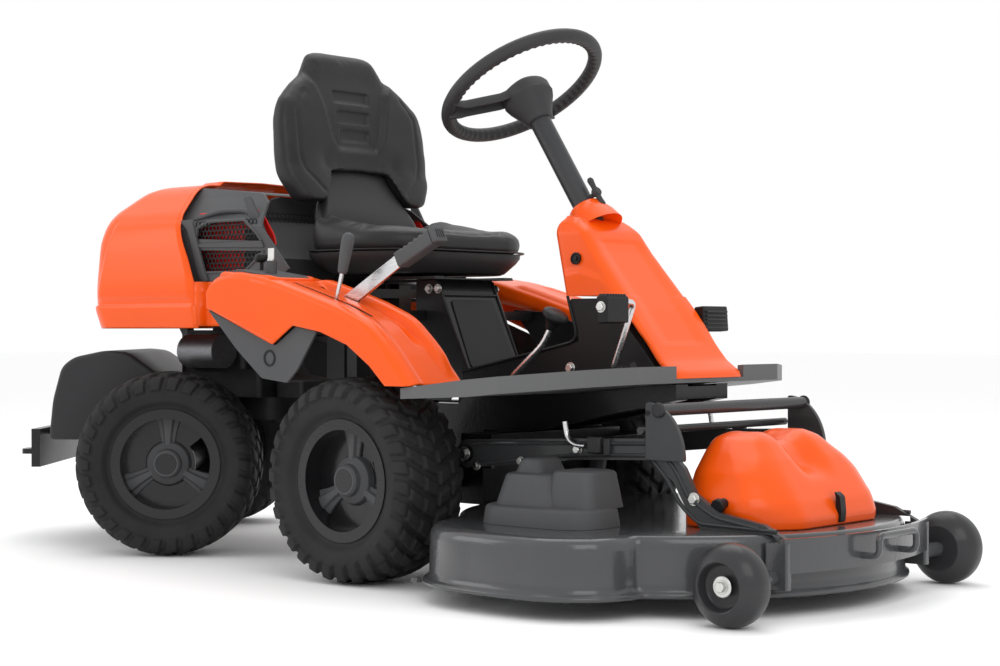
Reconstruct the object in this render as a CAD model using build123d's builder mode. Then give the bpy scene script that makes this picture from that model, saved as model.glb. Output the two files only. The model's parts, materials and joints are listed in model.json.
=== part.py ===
from build123d import *
import os

# Riding lawn mower with a front deck and a swivelling rear axle, in millimetres.
# X points forwards, Y to the left and Z up. Coordinates are measured on the
# ground below the front axle until the last section centres the machine.

# ---- wheels and stance
tyre_radius = 203.5
tyre_width = 170.0
tread_width = 138.0
rim_radius = 104.0
rim_flange_radius = 121.0
rim_half_width = 67.0
rim_wall = 4.0
rim_disc_inset = 42.0
cap_radius = 31.0
wheel_out = 361.0
stub_radius = 18.0
hub_radius = 45.0
axle_tube_radius = 35.0
casing_half = 86.0

# ---- swivelling rear unit
pivot_x = -864.0
rear_axle_back = 45.0
rest_steer = 40.0
swivel_pin_radius = 20.0
tow_hole_radius = 9.0
running_gap = 0.3
bore_fit = 0.05

# ---- main frame
rail_low = 293.0
rail_high = 345.0
rail_inner = 48.0
rail_outer = 86.0
rail_back = -900.0
plate_thickness = 6.0

# ---- floor, tunnel and steering console
floor_rear_x = 20.0
floor_bend_x = 320.0
floor_front_x = 580.0
floor_rear_z = 370.0
floor_bend_z = 383.0
floor_front_z = 407.0
floor_thickness = 8.0
floor_lip = 24.0
floor_half_width = 438.0
floor_border = 14.0
tunnel_rear_x = 30.0
panel_wall = 4.0
console_half = 112.0
console_top_half = 84.0
console_top_z = 727.0
column_radius = 22.5
column_wall = 2.5
column_foot_x = 480.0
column_base = (388.0, 0.0, 566.0)
column_head = (153.0, 0.0, 930.0)
shaft_radius = 9.0
steering_ring_radius = 178.0
steering_rim_radius = 15.0
hub_drop = 62.0
hub_rise = 16.0
spoke_angles = (30.0, 150.0)
spoke_width = 38.0
spoke_thickness = 18.0

# ---- bodywork
hood_half = 315.0
hood_bulge_half = 200.0
hood_low = 515.0
hood_side_top = 748.0
hood_roof = 830.0
hinge_x = -915.0
hinge_z = 530.0
hinge_half = 80.0
hinge_radius = 6.0
grille_half = 287.0
cowl_half = 262.0
fender_out = 440.0
fender_in = 290.0
fender_wall = 8.0
slot_width = 14.0

# ---- seat
rail_top = 612.0
seat_half = 240.0
seat_back_half = 226.0
seat_floor = 618.0
seat_seam = 664.0

# ---- mower deck
deck_top = 143.0
deck_low = 35.0
deck_wall = 4.0
lip_height = 8.0
lip_width = 10.0
blade_radius = 190.0
blade_thickness = 5.0
blade_width = 52.0
blade_low = 58.0
side_blade_x = 430.0
side_blade_y = 320.0
centre_blade_x = 690.0
spindle_radius = 12.5
pulley_radius = 58.0
arm_inner = 222.0
arm_outer = 234.0
arm_pivot_x = 160.0
arm_pivot_z = 255.0
arm_pin_radius = 10.0
lift_tube_x = 635.0
lift_tube_z = 354.0
lift_tube_radius = 11.0
deck_wheel_radius = 71.5
deck_wheel_width = 80.0
deck_wheel_x = 882.0
deck_wheel_y = 377.0
deck_axle_radius = 8.0
bar_reach = 955.0
bar_low = 80.0
bar_high = 140.0

pieces = {}
chassis = Location((0, 0, 0))
rear = Location((pivot_x, 0, 0), (0, 0, rest_steer))


# ---- drawing helpers: each adds to, or cuts from, the part that is being built
def set_in(frame, plane):
    """A plane of a frame's own space, where that frame stands."""
    return Plane(frame * plane.location)


def plan_prism(points, low, high, frame=chassis, inset=0.0, corner=0.0, mode=Mode.ADD):
    """An (X, Y) outline raised from one height to another."""
    with BuildSketch(set_in(frame, Plane.XY.offset(low))) as outline:
        with BuildLine():
            if corner:
                FilletPolyline(*points, radius=corner, close=True)
            else:
                Polyline(*points, close=True)
        make_face()
        if inset:
            offset(amount=-inset, kind=Kind.INTERSECTION)
    extrude(outline.sketch, amount=high - low, mode=mode)


def side_prism(points, low, high, frame=chassis, inset=0.0, corner=0.0, mode=Mode.ADD):
    """An (X, Z) outline carried from one Y to another."""
    with BuildSketch(set_in(frame, Plane.XZ.offset(-low))) as outline:
        with BuildLine():
            if corner:
                FilletPolyline(*points, radius=corner, close=True)
            else:
                Polyline(*points, close=True)
        make_face()
        if inset:
            offset(amount=-inset, kind=Kind.INTERSECTION)
    extrude(outline.sketch, amount=low - high, mode=mode)


def front_prism(points, low, high, frame=chassis, inset=0.0, corner=0.0, mode=Mode.ADD):
    """A (Y, Z) outline carried from one X to another."""
    with BuildSketch(set_in(frame, Plane.YZ.offset(low))) as outline:
        with BuildLine():
            if corner:
                FilletPolyline(*points, radius=corner, close=True)
            else:
                Polyline(*points, close=True)
        make_face()
        if inset:
            offset(amount=-inset, kind=Kind.INTERSECTION)
    extrude(outline.sketch, amount=high - low, mode=mode)


def block(x, y, z, frame=chassis, corner=0.0, mode=Mode.ADD):
    """A box between pairs of X, Y and Z."""
    outline = [(x[0], y[0]), (x[1], y[0]), (x[1], y[1]), (x[0], y[1])]
    plan_prism(outline, z[0], z[1], frame, corner=corner, mode=mode)


def rod(start, end, radius, frame=chassis, mode=Mode.ADD):
    """A round bar between two points."""
    way = Vector(*end) - Vector(*start)
    with BuildSketch(set_in(frame, Plane(origin=start, z_dir=way))) as section:
        Circle(radius)
    extrude(section.sketch, amount=way.length, mode=mode)


def bent_rod(points, radius, bend, frame=chassis):
    """A round bar that follows straight runs joined by arcs."""
    with BuildLine(set_in(frame, Plane.XY)) as route:
        FilletPolyline(*points, radius=bend)
    path = route.wire()
    with BuildSketch(Plane(origin=path @ 0, z_dir=path % 0)) as section:
        Circle(radius)
    sweep(section.sketch, path=path)


def turned(profile, centre, side, frame=chassis, mode=Mode.ADD):
    """A profile of (radius, outward distance) points turned about a wheel's axle."""
    x, y, z = centre
    with BuildSketch(set_in(frame, Plane.XY.offset(z))) as half:
        with BuildLine():
            Polyline(*[(x + radius, y + side * out) for radius, out in profile], close=True)
        make_face()
    axle = set_in(frame, Plane(origin=(x, y, z), x_dir=(1, 0, 0), z_dir=(0, 1, 0)))
    revolve(half.sketch, axis=Axis(axle.origin, axle.z_dir), mode=mode)


def turned_up(profile, x, y, frame=chassis, mode=Mode.ADD):
    """A profile of (radius, height) points turned about an upright axis."""
    with BuildSketch(set_in(frame, Plane.XZ.offset(-y))) as half:
        with BuildLine():
            Polyline(*[(x + radius, height) for radius, height in profile], close=True)
        make_face()
    post = set_in(frame, Plane(origin=(x, y, 0)))
    revolve(half.sketch, axis=Axis(post.origin, post.z_dir), mode=mode)


def mirrored(points):
    """An outline of (Y, Z) or (X, Y) points closed by its own reflection."""
    return points + [(-a, b) for a, b in reversed(points)]


def mirrored_plan(points):
    """An (X, Y) outline closed by its reflection in the middle plane."""
    return points + [(x, -y) for x, y in reversed(points)]


# ---- wheels: a tyre and a rim at each corner
rim_profile = [
    (hub_radius, -60), (hub_radius, rim_half_width - rim_disc_inset - plate_thickness),
    (rim_radius - rim_wall, rim_half_width - rim_disc_inset - plate_thickness),
    (rim_radius - rim_wall, -rim_half_width), (rim_flange_radius, -rim_half_width),
    (rim_flange_radius, -rim_half_width + rim_wall), (rim_radius, -rim_half_width + rim_wall),
    (rim_radius, rim_half_width - rim_wall), (rim_flange_radius, rim_half_width - rim_wall),
    (rim_flange_radius, rim_half_width), (rim_radius - rim_wall, rim_half_width),
    (rim_radius - rim_wall, rim_half_width - rim_disc_inset), (hub_radius + 6, rim_half_width - rim_disc_inset),
    (cap_radius, rim_half_width - rim_disc_inset + 12), (cap_radius, rim_half_width - 14),
    (cap_radius - 8, rim_half_width - 8), (0, rim_half_width - 8), (0, 16),
    (stub_radius + bore_fit, 16), (stub_radius + bore_fit, -60),
]
bead = rim_half_width - rim_wall
tyre_profile = [
    (rim_radius + running_gap, -bead), (rim_flange_radius + 6, -bead), (rim_flange_radius + 12, -bead - 12),
    (158, -tyre_width / 2), (178, -tyre_width / 2 + 2), (193, -tread_width / 2 - 6),
    (tyre_radius - 3, -tread_width / 2 + 14), (tyre_radius, -tread_width / 4), (tyre_radius, tread_width / 4),
    (tyre_radius - 3, tread_width / 2 - 14), (193, tread_width / 2 + 6), (178, tyre_width / 2 - 2),
    (158, tyre_width / 2), (rim_flange_radius + 12, bead + 12), (rim_flange_radius + 6, bead),
    (rim_radius + running_gap, bead),
]
wheel_places = {
    "front_right": (chassis, 0.0, -1), "front_left": (chassis, 0.0, 1),
    "rear_right": (rear, -rear_axle_back, -1), "rear_left": (rear, -rear_axle_back, 1),
}
window_half_angle = 38.0
for place, (frame, axle_x, side) in wheel_places.items():
    centre = (axle_x, side * wheel_out, tyre_radius)

    with BuildPart() as tyre:
        turned(tyre_profile, centre, side, frame)
    pieces["tyre_" + place] = tyre

    with BuildPart() as rim:
        turned(rim_profile, centre, side, frame)
        wheel_plane = set_in(frame, Plane(origin=centre, x_dir=(1, 0, 0), z_dir=(0, side, 0)))
        with BuildSketch(wheel_plane) as windows:
            with PolarLocations(0, 3, start_angle=30):
                with BuildLine():
                    arc_out = CenterArc((0, 0), rim_radius - 12, -window_half_angle, 2 * window_half_angle)
                    arc_in = CenterArc((0, 0), hub_radius + 14, -window_half_angle, 2 * window_half_angle)
                    Line(arc_out @ 0, arc_in @ 0)
                    Line(arc_out @ 1, arc_in @ 1)
                make_face()
        extrude(windows.sketch, amount=rim_half_width, mode=Mode.SUBTRACT)
    pieces["rim_" + place] = rim

# ---- main frame: two rails, swivel plate and pin, deck pivots, seat posts
hood_post = [(rail_back, rail_high - 5), (rail_back + 20, rail_high - 5), (rail_back + 20, 500),
             (hinge_x + 9, hinge_z + 10), (hinge_x - 9, hinge_z + 10), (hinge_x - 9, hinge_z - 10), (rail_back, 488)]
floor_line = [(floor_rear_x, floor_rear_z), (floor_bend_x, floor_bend_z), (floor_front_x, floor_front_z)]
with BuildPart() as main_frame:
    for side in (-1, 1):
        rail = sorted([side * rail_inner, side * rail_outer])
        side_prism([(rail_back, rail_low), (190, rail_low), (560, floor_front_z - 42), (560, floor_front_z - 12),
                    (floor_bend_x, floor_bend_z - floor_thickness - running_gap),
                    (floor_rear_x, floor_rear_z - floor_thickness - running_gap),
                    (0, rail_high), (rail_back, rail_high)], *rail)
        block((-330, -300), rail, (rail_high, rail_top - 12))
        block((-120, -90), rail, (rail_high, rail_top - 12))
        bracket = sorted([side * (arm_inner - 26), side * (arm_inner - 14)])
        block((120, 200), bracket, (225, rail_low))
        arm_pin = [(arm_pivot_x, side * y, arm_pivot_z) for y in (arm_inner - 20, arm_outer + 8)]
        rod(*arm_pin, arm_pin_radius)
        rod((arm_pivot_x, side * (arm_outer + running_gap), arm_pivot_z),
            (arm_pivot_x, side * (arm_outer + 8), arm_pivot_z), arm_pin_radius + 6)
    block((120, 200), (-arm_inner + 14, arm_inner - 14), (rail_low - 20, rail_low))
    block((rail_back, pivot_x + 64), (-rail_outer, rail_outer), (rail_low, rail_low + 20))
    block((-600, -560), (-rail_outer, rail_outer), (rail_low, rail_high))
    block((-330, -90), (-rail_outer, rail_outer), (rail_top - 12, rail_top - 12 + plate_thickness))
    for x, z in ((-315, 580), (-105, 530)):
        block((x - 15, x + 15), (-fender_in + running_gap, fender_in - running_gap), (z - 10, z + 10))
    block((530, 560), (-rail_outer, rail_outer), (floor_front_z - 40, floor_front_z - 16))
    rod((pivot_x, 0, rail_low + 10), (pivot_x, 0, 246), swivel_pin_radius)
    rod((pivot_x, 0, 246), (pivot_x, 0, 262 - running_gap), swivel_pin_radius + 10)
    rod(column_base, (column_foot_x, 0, 424), 14)
    block((column_foot_x - 25, column_foot_x + 25), (-rail_outer, rail_outer), (410, 424))
    for side in (-1, 1):
        block((column_foot_x - 25, column_foot_x + 25), sorted([side * rail_inner, side * rail_outer]), (350, 424))
        side_prism(hood_post, *sorted([side * (hinge_half - 20), side * hinge_half]))
    rod((hinge_x, -hinge_half - 12, hinge_z), (hinge_x, hinge_half + 12, hinge_z), hinge_radius)
pieces["main_frame"] = main_frame


def axle_casing(frame, axle_x, top):
    """A gear casing with a tube, a hub and a stub at each end."""
    block((axle_x - 70, axle_x + 70), (-casing_half, casing_half), (tyre_radius - 66, top), frame)
    for side in (-1, 1):
        ends = [(axle_x, side * y, tyre_radius) for y in (casing_half - 1, wheel_out - 62)]
        rod(*ends, axle_tube_radius, frame)
        stub = [(axle_x, side * y, tyre_radius) for y in (wheel_out - 64, wheel_out + 15.5)]
        rod(*stub, stub_radius, frame)


with BuildPart() as front_axle:
    axle_casing(chassis, 0.0, rail_low)
pieces["front_axle"] = front_axle

with BuildPart() as rear_axle:
    axle_casing(rear, -rear_axle_back, 238.0)
pieces["rear_axle"] = rear_axle

# ---- rear unit: swivel saddle, weight, its cover and the tow plate
saddle_top = rail_low - running_gap
saddle_low = 262.0
cheek = casing_half + 10.0
with BuildPart() as rear_frame:
    block((-330, 40), (-cheek, cheek), (saddle_low, saddle_top), rear)
    for side in (-1, 1):
        cheeks = sorted([side * casing_half, side * cheek])
        block((-130, 40), cheeks, (190, saddle_low), rear)
    rod((0, 0, saddle_low - 1), (0, 0, saddle_top + 1), swivel_pin_radius + bore_fit, rear, Mode.SUBTRACT)
    for side in (-1, 1):
        tube = [(-rear_axle_back, side * y, tyre_radius) for y in (casing_half - 1, cheek + 1)]
        rod(*tube, axle_tube_radius + bore_fit, rear, Mode.SUBTRACT)
pieces["rear_frame"] = rear_frame

cover_outline = [(-349, 246), (-337, 338), (-316, 418), (-293, 434), (-217, 453), (-167, 448), (-93, 395), (-93, 246)]
cover_half = 250.0
cover_wall = 4.0
with BuildPart() as counterweight:
    side_prism(cover_outline, -cover_half + cover_wall + running_gap, cover_half - cover_wall - running_gap,
               rear, inset=cover_wall + running_gap)
    block((-400, 0), (-300, 300), (200, saddle_top), rear, mode=Mode.SUBTRACT)
    block((-150, 0), (-300, 300), (200, 460), rear, mode=Mode.SUBTRACT)
pieces["counterweight"] = counterweight

with BuildPart() as counterweight_cover:
    side_prism(cover_outline, -cover_half, cover_half, rear)
    side_prism(cover_outline, -cover_half + cover_wall, cover_half - cover_wall, rear,
               inset=cover_wall, mode=Mode.SUBTRACT)
    block((-346, -80), (-cover_half + cover_wall, cover_half - cover_wall), (240, saddle_top - 30), rear,
          mode=Mode.SUBTRACT)
    block((-105, -80), (-cover_half + cover_wall, cover_half - cover_wall), (240, 386), rear, mode=Mode.SUBTRACT)
    block((-352, -338), (-91, 91), (240, saddle_low + running_gap), rear, mode=Mode.SUBTRACT)
pieces["counterweight_cover"] = counterweight_cover

with BuildPart() as tow_plate:
    block((-390, -250), (-90, 90), (saddle_low - 10, saddle_low), rear)
    block((-400, -380), (-200, 200), (181, 269), rear)
    block((-470, -400), (-30, 30), (200, 212), rear, corner=14)
    rod((-452, 0, 190), (-452, 0, 220), tow_hole_radius, rear, Mode.SUBTRACT)
pieces["tow_plate"] = tow_plate

# ---- floor plate with a raised edge
floor_plan = [(floor_rear_x, 262), (164, 262), (164, floor_half_width), (400, floor_half_width - 20),
              (530, 330), (floor_front_x, 235)]
floor_under = [(x, z - floor_thickness) for x, z in floor_line]
lip_top = [(x, z + floor_lip * (x > floor_rear_x)) for x, z in floor_line]
with BuildPart() as footplate:
    plan_prism(mirrored_plan(floor_plan), 330, 450, corner=12)
    side_prism(lip_top + list(reversed(floor_under)), -460, 460, mode=Mode.INTERSECT)
    with BuildPart(mode=Mode.PRIVATE) as well:
        plan_prism(mirrored_plan(floor_plan), 330, 480, inset=floor_border)
        side_prism(floor_line + [(floor_front_x, 480), (floor_rear_x, 480)], -460, 460, mode=Mode.INTERSECT)
    add(well.part, mode=Mode.SUBTRACT)
    block((column_foot_x - 32, column_foot_x + 32), (-rail_outer - 6, rail_outer + 6), (330, 450), mode=Mode.SUBTRACT)
    side_prism([(530, floor_front_z - 6), (floor_front_x, floor_front_z), (floor_front_x + 10, 470), (530, 470)],
               -console_half - running_gap, console_half + running_gap, mode=Mode.SUBTRACT)
pieces["footplate"] = footplate

# ---- tunnel and steering console
tunnel_half = console_half - panel_wall - running_gap
tunnel_outline = [(tunnel_rear_x, 372), (tunnel_rear_x, 412), (341, 477), (316, 562), (412, 562), (545, 408),
                  (floor_bend_x, floor_bend_z + running_gap)]
with BuildPart() as tunnel_plate:
    side_prism(tunnel_outline, -tunnel_half, tunnel_half)
    side_prism(tunnel_outline, -tunnel_half + panel_wall, tunnel_half - panel_wall, inset=panel_wall,
               mode=Mode.SUBTRACT)
    rod((column_foot_x + 20, 0, 393), column_base, 17, mode=Mode.SUBTRACT)
    rod(column_base, column_head, column_radius + 2, mode=Mode.SUBTRACT)
    block((column_foot_x - 30, column_foot_x + 30), (-tunnel_half + panel_wall, tunnel_half - panel_wall), (340, 428),
          mode=Mode.SUBTRACT)
pieces["tunnel_plate"] = tunnel_plate

console_side = [(263, 700), (300, 566), (426, 566), (553, floor_front_z + running_gap),
                (floor_front_x, floor_front_z + running_gap), (floor_front_x, floor_front_z + 10), (530, 462),
                (467, 542), (373, 655), (345, 698), (312, 722), (280, console_top_z)]
console_face = mirrored([(console_half, 400), (console_half, 520), (console_top_half + 12, 690),
                         (console_top_half, 730)])
with BuildPart() as steering_console:
    side_prism(console_side, -console_half, console_half)
    front_prism(console_face, 250, 600, mode=Mode.INTERSECT)
    with BuildPart(mode=Mode.PRIVATE) as inside:
        side_prism(console_side, -console_half, console_half, inset=panel_wall)
        front_prism(console_face, 250, 600, inset=panel_wall, mode=Mode.INTERSECT)
    add(inside.part, mode=Mode.SUBTRACT)
    side_prism([(306, 540), (306, 580), (424, 580), (440, 566), (560, 418), (560, 400)],
               -tunnel_half - running_gap, tunnel_half + running_gap, mode=Mode.SUBTRACT)
    rod(column_base, column_head, column_radius + running_gap, mode=Mode.SUBTRACT)
pieces["steering_console"] = steering_console

with BuildPart() as column_tube:
    rod(column_base, column_head, column_radius)
    rod(column_base, column_head, column_radius - column_wall, mode=Mode.SUBTRACT)
pieces["column_tube"] = column_tube

# ---- steering wheel on its shaft
axis_way = (Vector(*column_head) - Vector(*column_base)).normalized()
ring_centre = Vector(*column_head) + axis_way * (hub_drop + 30)
wheel_frame = Plane(origin=ring_centre, x_dir=(0, 1, 0), z_dir=axis_way)
with BuildPart() as steering_shaft:
    rod(Vector(*column_base) + axis_way * 20, Vector(*column_head) + axis_way * 40, shaft_radius)
    rod(Vector(*column_base) + axis_way * 30, Vector(*column_base) + axis_way * 50, 19)
pieces["steering_shaft"] = steering_shaft

with BuildPart() as steering_wheel:
    with BuildSketch(Plane(origin=ring_centre, x_dir=axis_way, z_dir=Vector(0, 1, 0).cross(axis_way))) as rim_round:
        with Locations((0, steering_ring_radius)):
            Circle(steering_rim_radius)
    revolve(rim_round.sketch, axis=Axis(ring_centre, axis_way))
    rod(Vector(*column_head) + axis_way * 1, Vector(*column_head) + axis_way * hub_drop, 30)
    rod(Vector(*column_head) + axis_way * hub_drop, Vector(*column_head) + axis_way * (hub_drop + hub_rise), 44)
    for angle in spoke_angles:
        spoke_plane = set_in(wheel_frame.location, Plane(Location((0, 0, -24), (0, 0, angle))))
        with BuildSketch(spoke_plane) as spoke:
            with Locations((steering_ring_radius / 2 + 6, 0)):
                Rectangle(steering_ring_radius - 14, spoke_width)
        extrude(spoke.sketch, amount=spoke_thickness)
    rod(Vector(*column_head) - axis_way * 1, Vector(*column_head) + axis_way * (40 + running_gap),
        shaft_radius + 0.2, mode=Mode.SUBTRACT)
pieces["steering_wheel"] = steering_wheel

# ---- fenders, side panels and control panel
fender_foot_x = 198.0
lip_slope = (floor_bend_z + floor_lip - floor_rear_z) / (floor_bend_x - floor_rear_x)
fender_foot_z = floor_rear_z + lip_slope * (fender_foot_x - floor_rear_x) + running_gap
fender_top = [(-384, 585), (-360, 608), (-300, 617), (-217, 605), (-113, 577), (1, 543), (80, 512), (137, 462),
              (fender_foot_x, fender_foot_z)]
fender_low = [(-382, 545), (-181, 470), (-121, 508), (-40, 495), (34, 470), (95, 430), (136, fender_foot_z)]
fender_skin = fender_top + [(x - 5, z - fender_wall) for x, z in reversed(fender_top)]
inner_wall = [(-378, 592), (-300, 608), (-217, 596), (-113, 568), (0, 535), (0, 480), (-40, 478), (-287, 556)]
lift_lever_y = -345.0
height_lever_y = -395.0
for place, side in (("right", -1), ("left", 1)):
    with BuildPart() as fender:
        side_prism(fender_top + list(reversed(fender_low)),
                   *sorted([side * fender_out, side * (fender_out - fender_wall)]))
        side_prism(fender_skin, *sorted([side * fender_in, side * fender_out]))
        side_prism(inner_wall, *sorted([side * fender_in, side * (fender_in + plate_thickness)]))
        block((100, 260), sorted([side * 280, side * 450]), (300, fender_foot_z), mode=Mode.SUBTRACT)
        if side < 0:
            block((-150, 16), (lift_lever_y - 11, lift_lever_y + 11), (490, 640), mode=Mode.SUBTRACT)
            block((-170, 56), (height_lever_y - slot_width / 2, height_lever_y + slot_width / 2), (490, 640),
                  mode=Mode.SUBTRACT)
            block((-322, -290), (-366, -352), (590, 640), mode=Mode.SUBTRACT)
    pieces["fender_" + place] = fender

panel_outline = [(-389, 541), (-298, 458), (-222, 401), (-148, 393), (-118, 419), (-62, 496), (-121, 506),
                 (-181, 468)]
for place, side in (("right", -1), ("left", 1)):
    with BuildPart() as side_panel:
        side_prism(panel_outline, *sorted([side * (fender_out - 12), side * (fender_out - 7.7)]))
        side_prism([(-389, 541), (-298, 458), (-222, 401), (-215, 405), (-292, 463), (-380, 544)],
                   *sorted([side * (fender_in + 8), side * (fender_out - 8)]))
        rod((-198, side * (fender_out - 20), 442), (-198, side * fender_out, 442), 16, mode=Mode.SUBTRACT)
    pieces["side_panel_" + place] = side_panel

with BuildPart() as control_panel:
    side_prism([(-345, 612), (-300, 617.9), (-217, 606.1), (-190, 599.3), (-190, 604), (-217, 612), (-300, 624),
                (-345, 618)], -430, -320)
    block((-322, -290), (-366, -352), (590, 640), mode=Mode.SUBTRACT)
    rod((-240, -392, 610), (-240, -392, 640), 12)
pieces["control_panel"] = control_panel

# ---- seat with its pedestal and rails
pedestal_inner = rail_outer + running_gap
pedestal_half = pedestal_inner + panel_wall
pedestal_side = [(-88, rail_high + 6), (-88, rail_top - 6), (-60, rail_top - 6), (tunnel_rear_x - running_gap, 412),
                 (tunnel_rear_x - running_gap, 376), (0, 376), (-20, rail_high + 6)]
pedestal_front = [(-89, rail_top - 6), (-60, rail_top - 6), (tunnel_rear_x - running_gap, 412),
                  (tunnel_rear_x - running_gap, 376), (4, 376), (4, 405)]
with BuildPart() as seat_pedestal:
    side_prism(pedestal_front, -pedestal_half, pedestal_half)
    for side in (-1, 1):
        side_prism(pedestal_side, *sorted([side * pedestal_inner, side * pedestal_half]))
pieces["seat_pedestal"] = seat_pedestal

runner_y = 110.0
with BuildPart() as seat_rails:
    block((-330, -30), (-runner_y - 16, runner_y + 16), (rail_top - 6, rail_top - 3))
    for side in (-1, 1):
        block((-330, -30), (side * runner_y - 14, side * runner_y + 14), (rail_top - 3, rail_top))
pieces["seat_rails"] = seat_rails

pan_outline = [(-300, 630), (-280, seat_floor), (-95, seat_floor), (-42, 652), (-36, seat_seam), (-322, seat_seam)]
seat_plan = [(-322, 205), (-290, seat_half), (-110, seat_half), (-24, 168)]
with BuildPart() as seat_pan:
    side_prism(pan_outline, -seat_half + 4, seat_half - 4)
    front_prism(mirrored([(seat_half - 50, seat_floor), (seat_half - 4, 650), (seat_half - 4, seat_seam)]),
                -340, 40, mode=Mode.INTERSECT)
    plan_prism(mirrored_plan(seat_plan), 600, 700, corner=30, mode=Mode.INTERSECT)
    for side in (-1, 1):
        block((-300, -110), (side * runner_y - 12, side * runner_y + 12), (rail_top + running_gap, seat_floor + 1))
pieces["seat_pan"] = seat_pan

cushion_outline = [(-322, seat_seam + running_gap), (-32, seat_seam + running_gap), (-24, 676), (-45, 694), (-150, 704),
                   (-215, 706), (-262, 742), (-322, 738)]
with BuildPart() as seat_cushion:
    side_prism(cushion_outline, -seat_half, seat_half, corner=8)
    plan_prism(mirrored_plan(seat_plan), 600, 800, corner=30, mode=Mode.INTERSECT)
pieces["seat_cushion"] = seat_cushion

back_outline = mirrored([(112, 742.5), (130, 783), (186, 783), (seat_back_half - 4, 826), (seat_back_half, 880),
                         (seat_back_half - 8, 990), (168, 1042), (134, 1060), (108, 1105), (88, 1122)])
back_lean = [(-322 - running_gap, 742.3), (-340, 790), (-368, 860), (-386, 1000), (-424, 1122), (-470, 1122),
             (-456, 1060), (-438, 1000), (-430, 850), (-416, 790), (-400, 742.3)]
with BuildPart() as seat_back:
    side_prism(back_lean, -300, 300)
    front_prism(back_outline, -600, -250, corner=8, mode=Mode.INTERSECT)
    side_prism([(-322 - running_gap, 690), (-322 - running_gap, 745), (-390, 745), (-372, 690)], -112, 112)
pieces["seat_back"] = seat_back

# ---- hood: an orange shell behind a dark grille frame
hood_side = [(-934, hood_low + 12), (-954, 560), (-957, 700), (-946, 770), (-915, 815), (-880, hood_roof - 2),
             (-704, hood_roof), (-650, 742), (-575, 602), (-561, hood_low - 10)]
hood_section = mirrored([(hood_half, 500), (hood_half + 3, 590), (hood_half - 8, 700), (hood_half - 26, hood_side_top),
                         (hood_bulge_half + 8, 815), (hood_bulge_half - 14, hood_roof)])
hood_wall = 4.0
skirt_back = -592.0
skirt_outline = [(skirt_back, hood_low - 8), (skirt_back, 599.7), (-441, 606.7), (-412, 607.4), (-404, 585),
                 (-420, 545), (-455, hood_low - 8)]
with BuildPart() as hood_shell:
    side_prism(hood_side, -330, 330)
    front_prism(hood_section, -1100, -500, mode=Mode.INTERSECT)
    with BuildPart(mode=Mode.PRIVATE) as hollow:
        side_prism(hood_side, -330, 330, inset=hood_wall)
        side_prism([(-930, 480), (-930, 560), (-700, 822), (-540, 560), (-540, 480)], -330, 330)
        side_prism([(-760, 790), (-760, 826), (-500, 826), (-500, 480), (-700, 480)], -330, 330)
        front_prism(hood_section, -1100, -500, inset=hood_wall, mode=Mode.INTERSECT)
    add(hollow.part, mode=Mode.SUBTRACT)
    side_prism([(-900, 480), (-900, 516), (-500, 500), (-500, 480)], -330, 330, mode=Mode.SUBTRACT)
    for side in (-1, 1):
        ear = sorted([side * (hinge_half + running_gap), side * (hinge_half + 8)])
        side_prism([(hinge_x - 36, hinge_z - 4), (hinge_x - 9, hinge_z - 10), (hinge_x + 10, hinge_z - 8),
                    (hinge_x + 10, hinge_z + 12), (hinge_x - 39, hinge_z + 40)], *ear)
        skirt = sorted([side * (grille_half - hood_wall), side * grille_half])
        side_prism(skirt_outline, *skirt)
        block((skirt_back, skirt_back + hood_wall), sorted([side * (grille_half - hood_wall), side * (hood_half - 2)]),
              (hood_low - 8, 596))
    rod((hinge_x, -hinge_half - 13, hinge_z), (hinge_x, hinge_half + 13, hinge_z), hinge_radius + bore_fit,
        mode=Mode.SUBTRACT)
pieces["hood_shell"] = hood_shell

grille_side = [(-720, 600), (-720, hood_roof - hood_wall - running_gap), (-472, 800), (-430, 778), (-400, 734),
               (-300, 629), (-330, 610), (-441, 607)]
grille_section = mirrored([(grille_half, 590), (grille_half, 722), (hood_bulge_half + 10, 796),
                           (hood_bulge_half - 20, hood_roof)])
upper_window = [(-600, 700), (-596, 722), (-560, 735), (-440, 735), (-402, 706), (-385, 690)]
lower_window = [(-590, 675), (-378, 668), (-441, 626), (-575, 626)]
with BuildPart() as hood_grille:
    side_prism(grille_side, -330, 330)
    front_prism(grille_section, -800, -280, mode=Mode.INTERSECT)
    with BuildPart(mode=Mode.PRIVATE) as hollow:
        side_prism([(-800, 560), (-800, 829), (-472, 796), (-250, 796), (-250, 560)], -330, 330)
        front_prism(grille_section, -800, -200, inset=hood_wall, mode=Mode.INTERSECT)
        block((-800, -200), (-grille_half + hood_wall, grille_half - hood_wall), (560, 640))
    add(hollow.part, mode=Mode.SUBTRACT)
    side_prism(upper_window, -330, 330, mode=Mode.SUBTRACT)
    side_prism(lower_window, -330, 330, mode=Mode.SUBTRACT)
pieces["hood_grille"] = hood_grille

# ---- engine, exhaust and air intake
engine_x = -700.0
with BuildPart() as engine_block:
    block((-830, -570), (-130, 130), (rail_high, 498), corner=12)
    block((-800, -600), (-150, 150), (410, 480), corner=12)
    rod((engine_x, 0, 498), (engine_x, 0, 560), 118)
    rod((engine_x, 0, 560), (engine_x, 0, 622), 10)
    block((-560, -470), (-90, 90), (rail_high, 470), corner=10)
    block((-580, -540), (-60, 60), (400, 450))
pieces["engine_block"] = engine_block

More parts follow.
